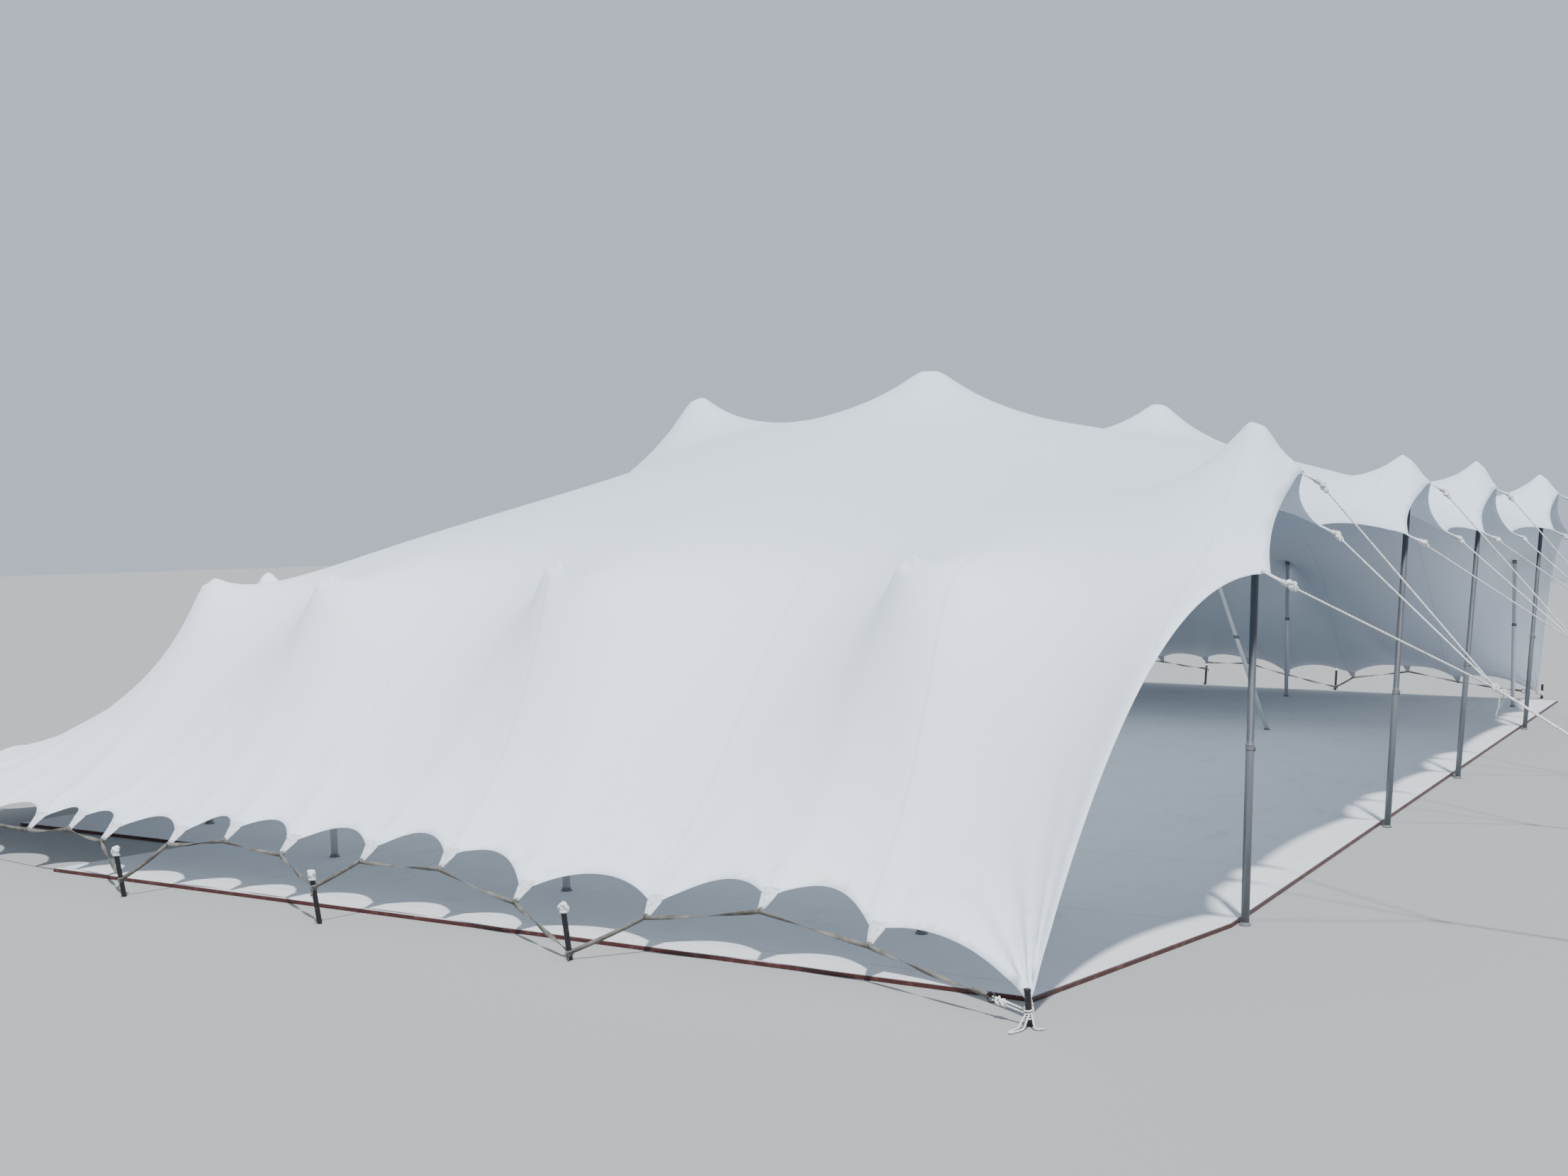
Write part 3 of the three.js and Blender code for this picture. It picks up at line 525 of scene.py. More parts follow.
far_left_corner, far_open_corner = ((x, mirrored(y), z) for x, y, z in (LEFT_CORNER, OPEN_CORNER))
left_ties = [
    (LEFT_CORNER[0], lerp(LEFT_CORNER[1], far_left_corner[1], i / LEFT_TIES),
     LEFT_TIP_HEIGHT + LEFT_TIP_VARIES * math.sin(i * 2.4)) for i in range(1, LEFT_TIES)]
edge_point(OPEN_CORNER, True)
tied_side("near", NEAR_TIES, (0, -1), LEFT_CORNER)
tied_side("left", left_ties, (-1, 0), far_left_corner)
tied_side("far", [(x, mirrored(y), z) for x, y, z in reversed(NEAR_TIES)], (0, 1), far_open_corner)
sweep(far_open_corner, LOW_BEHIND[3], range(1, SWEEP_STEPS))
for pole in (3, 2, 1, 0):
    for k, stop in enumerate((LOW_BEHIND[pole], HIGH_TIES[pole], LOW_BEFORE[pole])):
        if k > 0:
            bow((stop[0], stop[1] + TONGUE_HALF_WIDTH, stop[2]), (-1, 0), ARCH_INSET, 0)
        tie("open", stop, (1, 0), OPEN_TONGUE_DROP)
    if pole > 0:
        ahead = LOW_BEHIND[pole - 1]
        bow((ahead[0], ahead[1] + TONGUE_HALF_WIDTH, ahead[2]), (-1, 0), OPEN_HEM_INSET, OPEN_HEM_RISE)
sweep(OPEN_CORNER, LOW_BEFORE[0], range(SWEEP_STEPS - 1, 0, -1))

# The cloth runs in cones to the places it is held at, rounded over the pole caps, with a wide flare below
# each cap. Below the wall top its heights are eased, so that the walls run out flat at the hem.
CONE_POWER = 0.53
CONE_ROUNDING = 0.05
WALL_TOP = 1.9
WALL_EASE = 0.15
FLARE_SHARE = 0.016
FLARE_CORE = 0.165
FLARE_REACH = 1.5
CAP_REACH = {"tall": 1.4, "low": 1.5}
CAP_CURVE = {"tall": 0.12, "low": 0.3}
heads = np.array([(x + lean, y, height) for x, y, height, lean in POLES.values()])
flares = FLARE_SHARE * heads[:, 2] ** 2
tall_heads = np.array([name.startswith("tall") for name in POLES])
cap_radii = np.where(tall_heads, TALL_CAP, LOW_CAP)
cap_reaches = cap_radii * np.where(tall_heads, CAP_REACH["tall"], CAP_REACH["low"])
cap_drops = np.where(tall_heads, CAP_CURVE["tall"], CAP_CURVE["low"]) / cap_radii


def flare_lift(places):
    """How far the flares up to the pole caps lift the cloth."""
    gaps = np.hypot(*(places[:, None, :] - heads[None, :, :2]).transpose(2, 0, 1))
    away = np.clip(gaps - cap_radii, 0, FLARE_REACH)
    fall = np.log1p((away / FLARE_CORE) ** 2) / math.log1p((FLARE_REACH / FLARE_CORE) ** 2)
    return (flares * (1 - fall) * (1 - (away / FLARE_REACH) ** 2) ** 2).max(axis=1)


ridges = [lerp(head, root, t) for head, root in zip(heads[:4], HIGH_TIES) for t in (0.4, 0.7)]
held_places = np.array(held + ridges)
held_places[:, 2] -= flare_lift(held_places[:, :2])
anchors = np.concatenate([held_places, heads - np.outer(flares, (0, 0, 1))])
caps = np.append(np.zeros(len(held_places)), cap_radii)


def eased(z):
    """Heights stretched out below the wall top, so that the walls fall steeply and then run out flat."""
    reach = WALL_TOP + WALL_EASE
    low = WALL_TOP + reach * np.log((np.minimum(z, WALL_TOP) + WALL_EASE) / reach)
    return np.where(z >= WALL_TOP, z, low)


def settled(eased_height):
    reach = WALL_TOP + WALL_EASE
    low = reach * np.exp((np.minimum(eased_height, WALL_TOP) - WALL_TOP) / reach) - WALL_EASE
    return np.where(eased_height >= WALL_TOP, eased_height, low)


def cones(places):
    gaps = np.sqrt(((places[:, None, :] - anchors[None, :, :2]) ** 2).sum(axis=2))
    return (np.maximum(0, gaps - caps) ** 2 + CONE_ROUNDING ** 2) ** (CONE_POWER / 2)


count = len(anchors)
system = np.ones((count + 1, count + 1))
system[:count, :count] = cones(anchors[:, :2])
system[count, count] = 0
cone_weights = np.linalg.solve(system, np.append(eased(anchors[:, 2]), 0))


def cloth_height(places):
    return settled(cones(places) @ cone_weights[:count] + cone_weights[count]) + flare_lift(places)


# The sheet's mesh is fine in rings round the pole caps, in fans at the ties and corners and in rows along
# the two sweeps, and an even grid elsewhere.
GRID = 0.085
GRID_ROW = GRID * 0.87
CAP_RINGS = [0.0, 0.018, 0.034, 0.048, 0.062, 0.078, 0.095, 0.12, 0.15, 0.19, 0.24, 0.3, 0.37]
CAP_RING_STEP = 0.02
CAP_RING_PLACES = 28
TIE_FAN_MESH = (0.42, 24)
CORNER_FAN_MESH = (1.15, 180)
SWEEP_ROWS = (0.035, 0.07, 0.11, 0.16, 0.22, 0.29)
SWEEP_ROW_STEP = 0.033
FIRST_RING = 0.06
RING_STEP = 0.025
RING_GROWTH = 0.16
FINE_TO_HEM = 0.03
GRID_TO_HEM = 0.045
GRID_TO_FINE = 0.04
GRID_TO_CAP = CAP_RINGS[-1] + 0.05
hem_line = np.array(hem)[:, :2]


def inside_hem(places):
    """Which plan places lie within the hem, by counting edges crossed."""
    inside = np.zeros(len(places), dtype=bool)
    for (x0, y0), (x1, y1) in zip(hem_line, np.roll(hem_line, -1, axis=0)):
        crosses = (y0 > places[:, 1]) != (y1 > places[:, 1])
        if crosses.any():
            at = (x1 - x0) * (places[:, 1] - y0) / ((y1 - y0) or 1) + x0
            inside ^= crosses & (places[:, 0] < at)
    return inside


def nearest_gap(places, others):
    """Distance in plan from each place to the nearest of the others."""
    tree = KDTree(len(others))
    for k, (x, y) in enumerate(others):
        tree.insert((x, y, 0), k)
    tree.balance()
    return np.array([tree.find((x, y, 0))[2] for x, y in places])


def ring(x, y, radius, number, k):
    """Mesh places round a centre; every other ring is turned by half a step."""
    angles = (np.arange(number) + 0.5 * (k % 2)) * 2 * math.pi / number
    return np.column_stack([x + radius * np.cos(angles), y + radius * np.sin(angles)])


fine = []
for x, y, z in heads:
    for k, radius in enumerate(CAP_RINGS):
        number = min(CAP_RING_PLACES, int(2 * math.pi * radius / CAP_RING_STEP))
        fine.append(ring(x, y, radius, max(1, number), k))
tie_roots = [(side, root, out) for side, group in ties.items() for root, tip, out in group]
corners = [OPEN_CORNER, LEFT_CORNER, far_left_corner, far_open_corner]
fans = [(root[0], root[1], *TIE_FAN_MESH) for side, root, out in tie_roots]
fans += [(x, y, *CORNER_FAN_MESH) for x, y, z in corners]
for x, y, reach, number in fans:
    radius = FIRST_RING
    k = 0
    while radius < reach:
        fine.append(ring(x, y, radius, number, k))
        radius += max(RING_STEP, radius * RING_GROWTH)
        k += 1
sweeps = []       # start, direction, direction in to the cloth, and length of each sweep on plan
for ground, tab in ((OPEN_CORNER, LOW_BEFORE[0]), (far_open_corner, LOW_BEHIND[3])):
    start = np.array(ground[:2])
    length = math.dist(ground[:2], tab[:2])
    edge = (np.array(tab[:2]) - start) / length
    inward = np.array((-abs(edge[1]), edge[0] * np.sign(edge[1])))
    sweeps.append((start, edge, inward, length))
    for depth in SWEEP_ROWS:
        along = np.arange(0.1, length, SWEEP_ROW_STEP)
        fine.append(start + np.outer(along, edge) + inward * depth)
fine = np.concatenate(fine)
fine = fine[inside_hem(fine)]
fine = fine[nearest_gap(fine, hem_line) > FINE_TO_HEM]
across = np.arange(-10.4, 1.2, GRID)
away = np.arange(-0.6, FLOOR_LENGTH + 0.6, GRID_ROW)
grid = np.array([(x + (row % 2) * GRID / 2, y) for row, y in enumerate(away) for x in across])
grid = grid[inside_hem(grid)]
for others, gap in ((heads[:, :2], GRID_TO_CAP), (hem_line, GRID_TO_HEM), (fine, GRID_TO_FINE)):
    grid = grid[nearest_gap(grid, others) > gap]
plan = np.concatenate([hem_line, fine, grid])
meshed = delaunay_2d_cdt([Vector(p) for p in plan], [], [list(range(len(hem)))], 1, 1e-6)
plan = np.array([tuple(v) for v in meshed[0]])
sheet_faces = np.array([tuple(f) for f in meshed[2]])

# Small folds in the cloth fan out from every tie and corner, run from the ties towards the poles, pucker the
# swept edges and lie round every pole cap.
TIE_FOLDS = (0.0055, 0.26, 8)
CORNER_FOLDS = ((0.009, 0.6, 19), (0.0045, 0.35, 37))
TENT_MIDDLE = np.array([-4.5, FLOOR_LENGTH / 2])
PULL_HEIGHTS = (0.034, 0.04, 0.046, 0.052)
PULL_FADES = (0.75, 0.95, 1.15)
PULL_REACH = 3
PULL_OUTWARD = 1.2
PUCKER_HEIGHT = 0.0042
CAP_FOLD_HEIGHT = 0.0012


def fanned(places, root, inward, height, reach, folds):
    """Folds fanned out from a held place towards the inside of the sheet."""
    offset = places - root
    distance = np.hypot(*offset.T)
    angle = np.arctan2(inward[0] * offset[:, 1] - inward[1] * offset[:, 0], offset @ inward)
    fade = np.exp(-distance / reach) * np.clip(distance / 0.07, 0, 1) * (distance < reach * 5)
    return height * fade * np.cos(folds * angle + root[0] * 5) * np.cos(angle / 2) ** 2


def pulled(places, root, out, k):
    """The ridge that a tie pulls up in the cloth, towards the nearest pole."""
    to_pole = heads[np.hypot(*(heads[:, :2] - root).T).argmin(), :2] - root
    toward = unit(unit(to_pole) - PULL_OUTWARD * out)
    along = (places - root) @ toward
    across = (places - root) @ (-toward[1], toward[0])
    near = (along > 0) & (along < PULL_REACH)
    along = np.clip(along, 0, PULL_REACH)
    rise = np.clip(along / 0.25, 0, 1) * np.exp(-along / PULL_FADES[k % 3])
    return PULL_HEIGHTS[k % 4] * near * rise * np.exp(-(across / (0.05 + 0.1 * along)) ** 2)


def puckered(places, start, edge, inward, length):
    """The short puckers that the stretched edge of a sweep draws in the cloth."""
    along = (places - start) @ edge
    depth = (places - start) @ inward
    near = (along > 0.3) & (along < length) & (depth > -0.2) & (depth < 1.2)
    wave = np.cos(along * 46 + 5 * np.sin(along * 3) + depth * 9) * (0.5 + 0.5 * np.sin(along * 5.3 + 0.8))
    return PUCKER_HEIGHT * near * wave * np.clip(depth / 0.06, 0, 1) * np.exp(-np.abs(depth) / 0.18)


def folded_round_cap(places, head, cap, k):
    offset = places - head
    distance = np.hypot(*offset.T)
    angle = np.arctan2(offset[:, 1], offset[:, 0])
    fade = np.exp(-(distance - cap) / 0.16) * np.clip((distance - cap) / 0.06, 0, 1) * (distance < 0.9)
    return CAP_FOLD_HEIGHT * fade * np.cos((9 + k % 4) * angle + k)


def creases(places):
    total = np.zeros(len(places))
    for k, (side, root, out) in enumerate(tie_roots):
        height, reach, folds = TIE_FOLDS
        total += fanned(places, root[:2], -out, height, reach, folds + k % 3)
        if side != "open":
            total += pulled(places, root[:2], out, k)
    for x, y, z in corners:
        inward = unit(TENT_MIDDLE - (x, y))
        for height, reach, folds in CORNER_FOLDS:
            total += fanned(places, np.array((x, y)), inward, height, reach, folds)
    for start, edge, inward, length in sweeps:
        total += puckered(places, start, edge, inward, length)
    for k, (head, cap) in enumerate(zip(heads, cap_radii)):
        total += folded_round_cap(places, head[:2], cap, k)
    return total


def canopy_sheet():
    """The canopy's closed mesh: an upper face, a lower face a cloth's thickness under it, and the rim."""
    heights = np.concatenate([cloth_height(plan[i:i + 4000]) for i in range(0, len(plan), 4000)])
    for (x, y, z), reach, drop in zip(heads, cap_reaches, cap_drops):
        distance = np.hypot(*(plan - (x, y)).T)
        share = np.clip(2 - 2 * distance / reach, 0, 1)
        share = share * share * (3 - 2 * share)
        heights = lerp(heights, z - drop * distance ** 2, share)
    upper = np.column_stack([plan, heights])
    triangles = sheet_faces.copy()
    first, second, third = (upper[triangles[:, k]] for k in range(3))
    normals = np.cross(second - first, third - first)
    flip = normals[:, 2] < 0
    triangles[flip] = triangles[flip][:, ::-1]
    normals[flip] *= -1
    vertex_normals = np.zeros_like(upper)
    for k in range(3):
        np.add.at(vertex_normals, triangles[:, k], normals)
    vertex_normals /= np.linalg.norm(vertex_normals, axis=1)[:, None]
    upper = upper + vertex_normals * creases(plan)[:, None]
    upper[:, 2] = np.maximum(upper[:, 2], HEM_CLEARANCE)
    total = len(upper)
    lower = upper - vertex_normals * CLOTH
    edges = np.concatenate([triangles[:, [0, 1]], triangles[:, [1, 2]], triangles[:, [2, 0]]])
    keys = {(int(a), int(b)) for a, b in edges}
    rim_faces = [(b, a, a + total, b + total) for a, b in keys if (b, a) not in keys]
    faces = [tuple(t) for t in triangles] + [tuple(t[::-1] + total) for t in triangles] + rim_faces
    return link_mesh("canopy", [(np.concatenate([upper, lower]), faces)])


STRIP_WIDTH = 1.45
HALF_SEAM = (0.712, 0.7165)
canopy = canopy_sheet()
cloth = Finish(
    "stretch_cloth", Roughness=0.62, Sheen_Weight=0.12, Sheen_Roughness=0.5, Specular_IOR_Level=0.35)
seam_wave = cloth.zigzag(cloth.axis(0) + cloth.noise(0.25, 1.0) * 0.25, STRIP_WIDTH / 2)
seam = cloth.span(seam_wave, *HALF_SEAM)
low_down = 1 - cloth.span(cloth.axis(2), 0.1, 0.85)
grime = cloth.span(cloth.noise(7.0, 5.0), 0.48, 0.78) * low_down
tint = cloth.blend(cloth.noise(0.55, 4.0), (0.77, 0.84, 0.93), (0.84, 0.895, 0.965))
# Painted shade: higher up, from the wall tops to the roof, the cloth is made darker and bluer than on the
# walls.
tint = cloth.blend(cloth.span(cloth.axis(2), 1.9, 2.6) * 0.6, tint, (0.60, 0.70, 0.84))
tint = cloth.blend(seam * 0.35, tint, (0.62, 0.68, 0.76))
cloth.feed("Base Color", cloth.blend(grime * 0.35, tint, (0.55, 0.54, 0.48)))
knit = cloth.noise(420.0, 2.0, (1, 1.6, 1))
cloth.relief(knit * 0.25 + cloth.noise(9.0, 3.0) * 0.5 + seam * 0.6, 0.0012, 0.5)
dress(canopy, cloth)
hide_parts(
    "canopy_near_skirt", "canopy_far_skirt", "canopy_left_skirt",
    "canopy_roof_1", "canopy_roof_2", "canopy_roof_3")

# The tongues: the hem is gathered at each tie into a pleated white tongue, folded back at its root and
# whipped with cord where the webbing or a guy takes hold of it.
TONGUE_SIDES = 24
TONGUE_PLEATS = 7
WHIPPING_CORD = 0.0022


def straight(start, end, step):
    """Places spaced evenly along a straight line."""
    return np.linspace(start, end, max(2, int(math.dist(start, end) / step) + 1))


def coil(at, axis, radius, turns, rise):
    """Turns of a winding about an axis."""
    step = 0.35
    axis = unit(axis)
    side = unit(np.cross(axis, (0.31, 0.17, 0.93) if abs(axis[2]) < 0.8 else (1, 0, 0)))
    other = np.cross(axis, side)
    number = int(turns * 2 * math.pi / step)
    return [
        np.array(at) + axis * (k / number - 0.5) * rise
        + radius * (math.cos(k * step) * side + math.sin(k * step) * other) for k in range(number + 1)]


def round_bar(path, radius, sides, up=(0, 0, 1)):
    angles = np.arange(sides) * 2 * math.pi / sides
    section = radius * np.column_stack([np.cos(angles), np.sin(angles)])
    return swept(path, lambda length: section, up)


def tongue(root, tip, seed):
    """One gathered tongue: wide and thin at its root in the hem, and a round neck at its tip."""
    down = (tip - root) / math.dist(tip, root)
    path = straight(root - down * 0.04, tip, 0.011)
    length = math.dist(path[0], path[-1])

    def outline(along):
        taper = max(0.0, along / length - 0.3) / 0.7
        wide = lerp(0.05, 0.0155, taper)
        thick = lerp(0.0035, 0.009, taper)
        places = []
        for k in range(TONGUE_SIDES):
            angle = k * 2 * math.pi / TONGUE_SIDES
            pleat = lerp(0.05, 0.3, min(1, taper * 1.8)) * math.cos(TONGUE_PLEATS * angle + seed * 1.7)
            places.append((
                wide * math.cos(angle) * (1 + 0.3 * pleat) + 0.006 * taper * math.sin(seed * 2.3),
                thick * math.sin(angle) * (1 + 1.6 * pleat) - 0.004 * (1 - taper)))
        return places

    return swept(path, outline)


tongue_finish = mottled(
    "gathered_cloth", (38.0, 4.0, 0.35, 0.75), ((0.70, 0.72, 0.75), (0.46, 0.47, 0.48)),
    (160.0, 3.0, (1, 1, 0.25), 0.0012, 0.6), Roughness=0.66, Specular_IOR_Level=0.3)
for side, group in ties.items():
    parts = [tongue(root, tip, k) for k, (root, tip, out) in enumerate(group)]
    for root, tip, out in group:
        whipping = coil(tip - 0.18 * (tip - root), tip - root, 0.0145, 4, 0.016)
        parts.append(round_bar(whipping, WHIPPING_CORD, 6))
    piece = link_mesh(side + "_tongues", parts)
    dress(piece, tongue_finish)

# The stakes: short bars of black-painted steel driven into the lawn, leaning away from the pull. A knob of
# white rag is tied over the top of each but the four corner ones, so that nobody is hurt on it.
STAKE_HEIGHT = 0.32
CORNER_STAKE_HEIGHT = 0.2
STAKE_RADIUS = 0.0165
STAKE_LEAN = 0.22
NEAR_STAKES = [(-2.68, -0.4), (-4.62, -0.37), (-6.36, -0.37), (-8.68, -0.18)]
STAKE_OUT = 0.38
CORNER_OUT = 0.09
CORNER_ASIDE = 0.04
LEFT_STAKE_EVERY = 4
RAG_SKIRT = 0.034
stakes = {
    "near": [
        (OPEN_CORNER[0] + CORNER_ASIDE, OPEN_CORNER[1] - CORNER_OUT), *NEAR_STAKES,
        (LEFT_CORNER[0] - CORNER_OUT, LEFT_CORNER[1] - CORNER_OUT)],
    "left": [
        (LEFT_CORNER[0] - STAKE_OUT, lerp(LEFT_CORNER[1], far_left_corner[1], (i + 0.5) / LEFT_TIES))
        for i in range(LEFT_STAKE_EVERY // 2, LEFT_TIES, LEFT_STAKE_EVERY)],
}
stakes["far"] = [(x, mirrored(y)) for x, y in stakes["near"]]
outward = {"near": (0, -1), "left": (-1, 0), "far": (0, 1)}


def stake(x, y, out, height):
    """A leaning bar with a blunt point pressed to the ground and a hammered, spread top."""
    profile = [
        (0, 0), (0.0155, 0), (STAKE_RADIUS, 0.006), (STAKE_RADIUS, height - 0.02),
        (0.0185, height - 0.012), (0.019, height - 0.004), (0.0165, height), (0, height)]
    lean = height * STAKE_LEAN
    return turned(profile, (x, y, 0), (x + out[0] * lean, y + out[1] * lean, height), 20)


def puff(at, radius, seed):
    """A crumpled ball of cloth."""
    rows = 10
    sides = 18
    vertices = []
    for row in range(rows + 1):
        polar = lerp(0.15, math.pi - 0.15, row / rows)
        for k in range(sides):
            angle = k * 2 * math.pi / sides
            crumple = 1 + 0.17 * math.sin(3 * angle + 2.1 * seed + 2 * polar)
            crumple += 0.1 * math.sin(4 * polar + seed) + 0.12 * math.cos(5 * angle - seed + 3 * polar)
            flat = math.sin(polar)
            vertices.append(np.array(at) + radius * crumple * np.array((
                flat * math.cos(angle), flat * math.sin(angle), math.cos(polar))))
    return vertices, ring_faces(rows + 1, sides)


def rag(x, y, out, seed):
    """A white rag bunched over a stake's top and tied in at the neck."""
    slope = np.array((*out, 0)) * STAKE_LEAN
    top = np.array((x, y, STAKE_HEIGHT)) + slope * STAKE_HEIGHT
    wrap = [
        (0, 0), (0.0255, 0), (0.0245, 0.007), (0.0205, 0.014), (0.0205, 0.018), (0.0225, 0.026),
        (0.021, 0.036), (0, 0.038)]
    parts = [turned(wrap, top - slope * RAG_SKIRT - (0, 0, RAG_SKIRT), top + (0, 0, 0.004), 14)]
    for k, rise in enumerate((0.004, 0.011, 0.001, 0.013, -0.011)):
        turn = seed * 1.3 + k * 1.75
        away = 0.0125 if k < 4 else 0.02
        at = top + (away * math.cos(turn), away * math.sin(turn), rise)
        parts.append(puff(at, 0.0135 + 0.0025 * ((k + seed) % 3), k + seed * 3))
    return joined(parts)


stake_paint = mottled(
    "stake_paint", (55.0, 5.0, 0.6, 0.68), ((0.018, 0.018, 0.02), (0.16, 0.09, 0.055)),
    (120.0, 3.0, (1, 1, 1), 0.0008, 0.5), Roughness=0.55, Metallic=0.2)
rag_cloth = mottled(
    "rag_cloth", (45.0, 4.0), ((0.62, 0.63, 0.62), (0.84, 0.85, 0.85)),
    (240.0, 4.0, (1, 1, 1), 0.0015, 0.8), Roughness=0.9, Specular_IOR_Level=0.2)
for side, places in stakes.items():
    capped = places if side == "left" else places[1:-1]
    bars = [
        stake(*place, outward[side], STAKE_HEIGHT if place in capped else CORNER_STAKE_HEIGHT)
        for place in places]
    steel = link_mesh(side + "_stakes", bars)
    rags = [rag(x, y, outward[side], k) for k, (x, y) in enumerate(capped)]
    caps_of_rag = link_mesh(side + "_rags", rags)
    dress(steel, stake_paint)
    dress(caps_of_rag, rag_cloth)

# The tie lines: one length of dirty grey webbing on each tied side, which zigzags from the tongues down to
# the stakes. It takes a turn round every tongue's neck and three turns round every stake.
WEBBING_WIDTH = 0.028
WEBBING_THICK = 0.0022
RING_FROM_STAKE = 0.27
LOOP_HEIGHTS = [0.07, 0.045, 0.24, 0.12, 0.08, 0.07]
LEFT_LOOP = 0.1
SPAN_STEPS = 40
webbing = mottled(
    "webbing", (11.0, 5.0, 0.35, 0.75), ((0.185, 0.178, 0.16), (0.085, 0.08, 0.07)),
    (700.0, 1.0, (1, 1, 1), 0.0006, 0.8), Roughness=0.92, Specular_IOR_Level=0.2)
rings = {}
for side, places in stakes.items():
    out = np.array((*outward[side], 0.0))
    runs_along = 1 if side == "left" else 0
    stops = [(tip + out * 0.016, "tongue") for root, tip, outwards in ties[side]]
    loops = [LEFT_LOOP] * len(places) if side == "left" else LOOP_HEIGHTS
    for (x, y), loop in zip(places, loops):
        stops.append((np.array((x, y, loop)) + out * loop * STAKE_LEAN, "stake"))
    stops.sort(key=lambda stop: stop[0][runs_along])
    if side != "left":
        for last, ahead in ((0, 1), (-1, -2)):
            at_stake = stops[last][0]
            toward = stops[ahead][0] - at_stake
            rings[side, last] = at_stake + unit(toward) * RING_FROM_STAKE
            stops[last] = (rings[side, last], "ring")
    parts = []
    for k, ((start, kind), (end, next_kind)) in enumerate(zip(stops, stops[1:])):
        twist = (0, 0.5, -0.5, 1)[k % 4] / math.dist(start, end)
        sag = np.array((0, 0, -0.004 - 0.003 * (k % 3)))
        path = [lerp(start, end, t) + sag * 4 * t * (1 - t) for t in np.linspace(0, 1, SPAN_STEPS + 1)]
        parts.append(strap(path, WEBBING_THICK, WEBBING_WIDTH, turns_per_metre=twist))
    for k, (stop, kind) in enumerate(stops):
        if kind == "stake":
            axis = out * STAKE_LEAN + (0, 0, 1)
            winding = coil(stop - out * 0.002, axis, STAKE_RADIUS + 0.004, 3.2, 0.034)
            parts.append(strap(winding, WEBBING_THICK, WEBBING_WIDTH * 0.42, axis))
            drop = min(0.05, stop[2] - 0.01)
            tail = [
                stop + out * (0.021 + 0.03 * t) + (0.03 * t + 0.01 * math.sin(5 * t), 0.012 * t, -drop * t)
                for t in np.linspace(0, 1, 9)]
            parts.append(strap(tail, WEBBING_WIDTH * 0.6, WEBBING_THICK, turns_per_metre=6))
        elif kind == "tongue":
            grip = coil(stop - out * 0.016, out * 0.76 + (0, 0, -0.65), 0.0175, 1.2, 0.006)
            parts.append(strap(grip, WEBBING_THICK * 1.2, WEBBING_WIDTH * 0.6, out + (0, 0, -0.8)))
        else:
            fold = stop + np.array((0, 0, 0.006))
            inward = stops[1 if k == 0 else -2][0] - stop
            folded_back = straight(fold, fold + unit(inward) * 0.11, 0.02)
            parts.append(strap(folded_back, WEBBING_THICK, WEBBING_WIDTH * 0.9))
    line = link_mesh(side + "_webbing", parts)
    dress(line, webbing)
    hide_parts(side + "_tie_line")

# The guys: laid white rope from the three tongues at each open-side pole to a knot, then a pair of ropes
# down to a stake well out on the lawn. The rope's ends are knotted and their tails hang.
ROPE_RADIUS = 0.007
THIN_ROPE = 0.0055
ROPE_STEP = 0.011
ROPE_PAIR = 0.013
KNOT_X = 1.93
KNOT_HEIGHT = 1.55
GUY_STAKE_X = 4.24
GUY_LOOP = 0.11
rope_finish = mottled(
    "guy_rope", (26.0, 4.0, 0.4, 0.8), ((0.78, 0.79, 0.78), (0.52, 0.51, 0.46)),
    (500.0, 2.0, (1, 1, 0.4), 0.0008, 0.7), Roughness=0.88, Specular_IOR_Level=0.25)


def rope(path, radius, pitch=0.07, up=(0, 0, 1)):
    """Laid rope along a path: its three-lobed cross-section turns once in each pitch of its length."""
    angles = np.arange(12) * math.pi / 6
    reach = radius * (0.87 + 0.13 * np.cos(3 * angles))

    def outline(length):
        turned_angles = angles + length / pitch * 2 * math.pi
        return np.column_stack([reach * np.cos(turned_angles), reach * np.sin(turned_angles)])

    return swept(path, outline, up)


def overhand(at, pull, size, thickness):
    """A pulled-up knot: the rope passes twice round its own pull and through itself."""
    pull = unit(pull)
    side = unit(np.cross(pull, (0, 1, 0.2)))
    other = np.cross(pull, side)
    path = []
    for k in range(73):
        t = k * 2 * math.pi / 72
        reach = size * (1.0 + 0.42 * math.cos(3 * t)) * 0.72
        path.append(
            np.array(at) + side * reach * math.cos(2 * t) + other * reach * math.sin(2 * t)
            + pull * size * 0.75 * math.sin(3 * t))
    return rope(path, thickness, 0.05, pull)


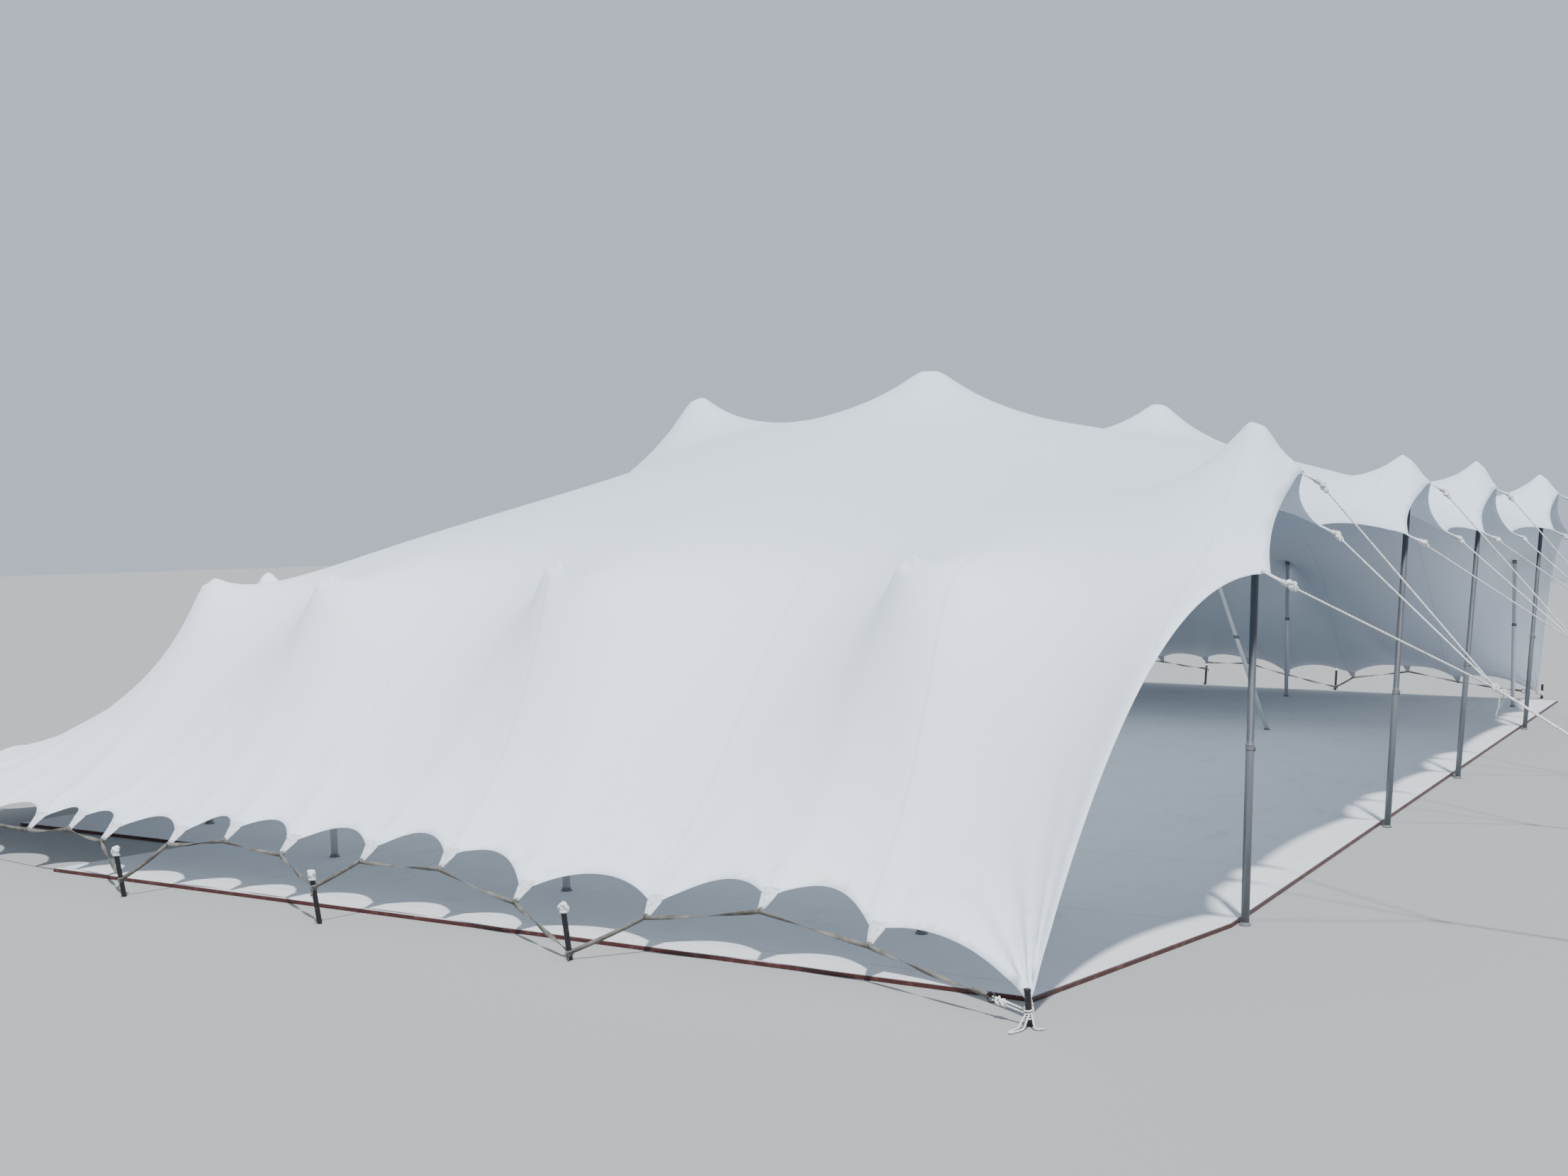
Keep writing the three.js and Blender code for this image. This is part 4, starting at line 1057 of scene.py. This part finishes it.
for i, name in enumerate(list(POLES)[:4]):
    y = POLES[name][1]
    knot_at = np.array((KNOT_X, y, KNOT_HEIGHT))
    anchor = np.array((GUY_STAKE_X - STAKE_RADIUS, y, GUY_LOOP))
    parts = []
    bunches = [rag(GUY_STAKE_X, y, (1, 0), i + 3)]
    for k, (root, tip, out) in enumerate(ties["open"][(3 - i) * 3:(4 - i) * 3]):
        line = (knot_at - tip) / math.dist(knot_at, tip)
        grip = coil(tip + (0, 0, 0.004), (1, 0, -0.6), 0.0155, 2.4, 0.022)
        parts += [
            rope(straight(tip, knot_at, ROPE_STEP), ROPE_RADIUS), rope(grip, 0.0052, 0.04),
            overhand(tip + line * 0.035, line, 0.016, 0.0058),
            overhand(tip + line * 0.065, line, 0.013, 0.0055)]
        for j in range(4):
            turn = k + i + j * 1.7
            at = tip + line * (0.018 + 0.007 * j) + (0.006, 0.014 * math.cos(turn), 0.014 * math.sin(turn))
            bunches.append(puff(at, 0.0125 + 0.003 * ((j + k) % 3), i + j + 4 * k))
    for sign in (-1, 1):
        aside = np.array((0, sign * ROPE_PAIR, 0))
        parts.append(rope(straight(knot_at + aside, anchor + aside, ROPE_STEP), ROPE_RADIUS))
    pull = anchor - knot_at
    round_stake = coil(anchor + (0.016, 0, 0), (STAKE_LEAN, 0, 1), 0.0225, 3.2, 0.034)
    parts += [
        overhand(knot_at, pull, 0.02, 0.0062), overhand(knot_at + pull * 0.018, pull, 0.017, 0.006),
        rope(round_stake, THIN_ROPE, 0.05)]
    for k, fall in enumerate((0.16, 0.11)):
        tail = [
            knot_at + (
                0.01 + 0.018 * k + 0.012 * math.sin(4 * t), 0.012 * (2 * k - 1) + 0.02 * t, -0.012 - fall * t)
            for t in np.linspace(0, 1, 13)]
        parts.append(rope(tail, THIN_ROPE, up=(1, 0, 0)))
    guy = link_mesh(f"guy_{i + 1}", parts)
    dress(guy, rope_finish)
    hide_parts(f"guy_rope_{i + 1}")
    post = link_mesh(f"guy_post_{i + 1}", [stake(GUY_STAKE_X, y, (1, 0), STAKE_HEIGHT)])
    dress(post, stake_paint)
    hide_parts(f"guy_stake_{i + 1}")
    bunched = link_mesh(f"guy_rag_{i + 1}", bunches)
    dress(bunched, rag_cloth)

# The corner lashings: the cloth's gathered corners are pulled down to their stakes by loops of white rope,
# which a steel ring joins to the webbing, with loose ends lying on the grass.
LASHING_ROPE = 0.006
LASHING_STEP = 0.01
LASHING_HEIGHT = 0.07
ON_GRASS = 0.0075
RING_RADIUS = 0.026
RING_BAR = 0.005
for name, corner, post, flipped, ring_at in (
        ("near_open", OPEN_CORNER, stakes["near"][0], 1, rings["near", -1]),
        ("near_left", LEFT_CORNER, stakes["near"][-1], 1, rings["near", 0]),
        ("far_open", far_open_corner, stakes["far"][0], -1, rings["far", -1]),
        ("far_left", far_left_corner, stakes["far"][-1], -1, rings["far", 0])):
    hold = np.array(corner)
    base = np.array((*post, LASHING_HEIGHT)) + (0, -flipped * LASHING_HEIGHT * STAKE_LEAN, 0)
    toward = (base - hold) / math.dist(base, hold)
    pull = (base - ring_at) / math.dist(base, ring_at)
    winding = coil(base, (0, -flipped * STAKE_LEAN, 1), 0.022, 4.3, 0.06)
    parts = [rope(winding, LASHING_ROPE, 0.05)]
    for sign in (-1, 1):
        aside = np.array((toward[1], -toward[0], 0.3)) * 0.011 * sign
        over = np.array((0, 0, 0.009 * sign))
        to_cloth = straight(hold - toward * 0.02 + aside, base + aside, LASHING_STEP)
        to_ring = straight(ring_at + pull * 0.03 + over, base + over, LASHING_STEP)
        parts += [rope(to_cloth, LASHING_ROPE), rope(to_ring, LASHING_ROPE)]
    for at, along, size in (
            (hold, toward, 0.018), (base - toward * 0.02 + (0, 0, 0.02), toward, 0.016),
            (ring_at + pull * 0.075, pull, 0.019), (ring_at + pull * 0.11, pull, 0.016)):
        parts.append(overhand(at, along, size, LASHING_ROPE))
    bight = []
    for t in np.linspace(0, 1, 41):
        swing = math.sin(math.pi * t)
        x = base[0] - 0.035 * swing + 0.026 * (2 * t - 1) * (0.35 + swing)
        y = base[1] - flipped * (0.024 + 0.15 * swing)
        bight.append((x, y, max(ON_GRASS, 0.068 * (1 - 2.4 * swing))))
    loose_end = []
    for t in np.linspace(0, 1, 16):
        y = base[1] - flipped * (0.015 + 0.03 * math.sin(3 * t))
        loose_end.append((base[0] + 0.02 + 0.07 * t, y, max(ON_GRASS, LASHING_HEIGHT * (1 - 2.2 * t))))
    parts += [rope(bight, LASHING_ROPE), rope(loose_end, LASHING_ROPE)]
    side = unit(np.cross(pull, (0, 0, 1)))
    rise = np.cross(side, pull)
    around = [
        ring_at + pull * (0.02 + RING_RADIUS * math.cos(turn)) + rise * RING_RADIUS * math.sin(turn)
        for turn in np.linspace(0, 2 * math.pi, 33)]
    steel_ring = link_mesh(name + "_ring", [round_bar(around, RING_BAR, 8, side)])
    dress(steel_ring, stake_paint)
    lashing = link_mesh(name + "_lashing", parts)
    dress(lashing, rope_finish)

# The studio: a plain pale floor under everything, soft sun from behind the camera, an even sky, and the glow
# of daylight under the canopy, which the cloth lets through.
STUDIO_SIZE = 120
JUST_BELOW = -0.001
bpy.ops.mesh.primitive_plane_add(size=STUDIO_SIZE, location=(0, 0, JUST_BELOW))
lawn = bpy.context.object
lawn.name = "studio_floor"
lawn_finish = Finish("studio_floor", Base_Color=(0.34, 0.345, 0.34, 1), Roughness=0.9, Specular_IOR_Level=0.2)
lawn.data.materials.append(lawn_finish.material)
sun_data = bpy.data.lights.new("sun", "SUN")
sun_data.energy = 5.6
sun_data.angle = math.radians(2.5)
sun_data.color = (0.97, 0.98, 1.0)
sun = linked("sun", sun_data)
sun.rotation_euler = Vector((0.27, -0.46, 1.0)).to_track_quat("Z", "Y").to_euler()
glow_data = bpy.data.lights.new("glow", "AREA")
glow_data.shape = "RECTANGLE"
glow_data.size = 8.0
glow_data.size_y = 11.2
glow_data.energy = 140
glow_data.color = (0.84, 0.93, 1.0)
glow = linked("glow", glow_data)
glow.location = np.array((-4.4, 7.7, 1.8)) + SHIFT
glow.visible_camera = False
world = bpy.data.worlds.new("studio")
bpy.context.scene.world = world
world.use_nodes = True
sky = world.node_tree.nodes["Background"].inputs
sky["Color"].default_value = (0.73, 0.82, 0.96, 1)
sky["Strength"].default_value = 0.8
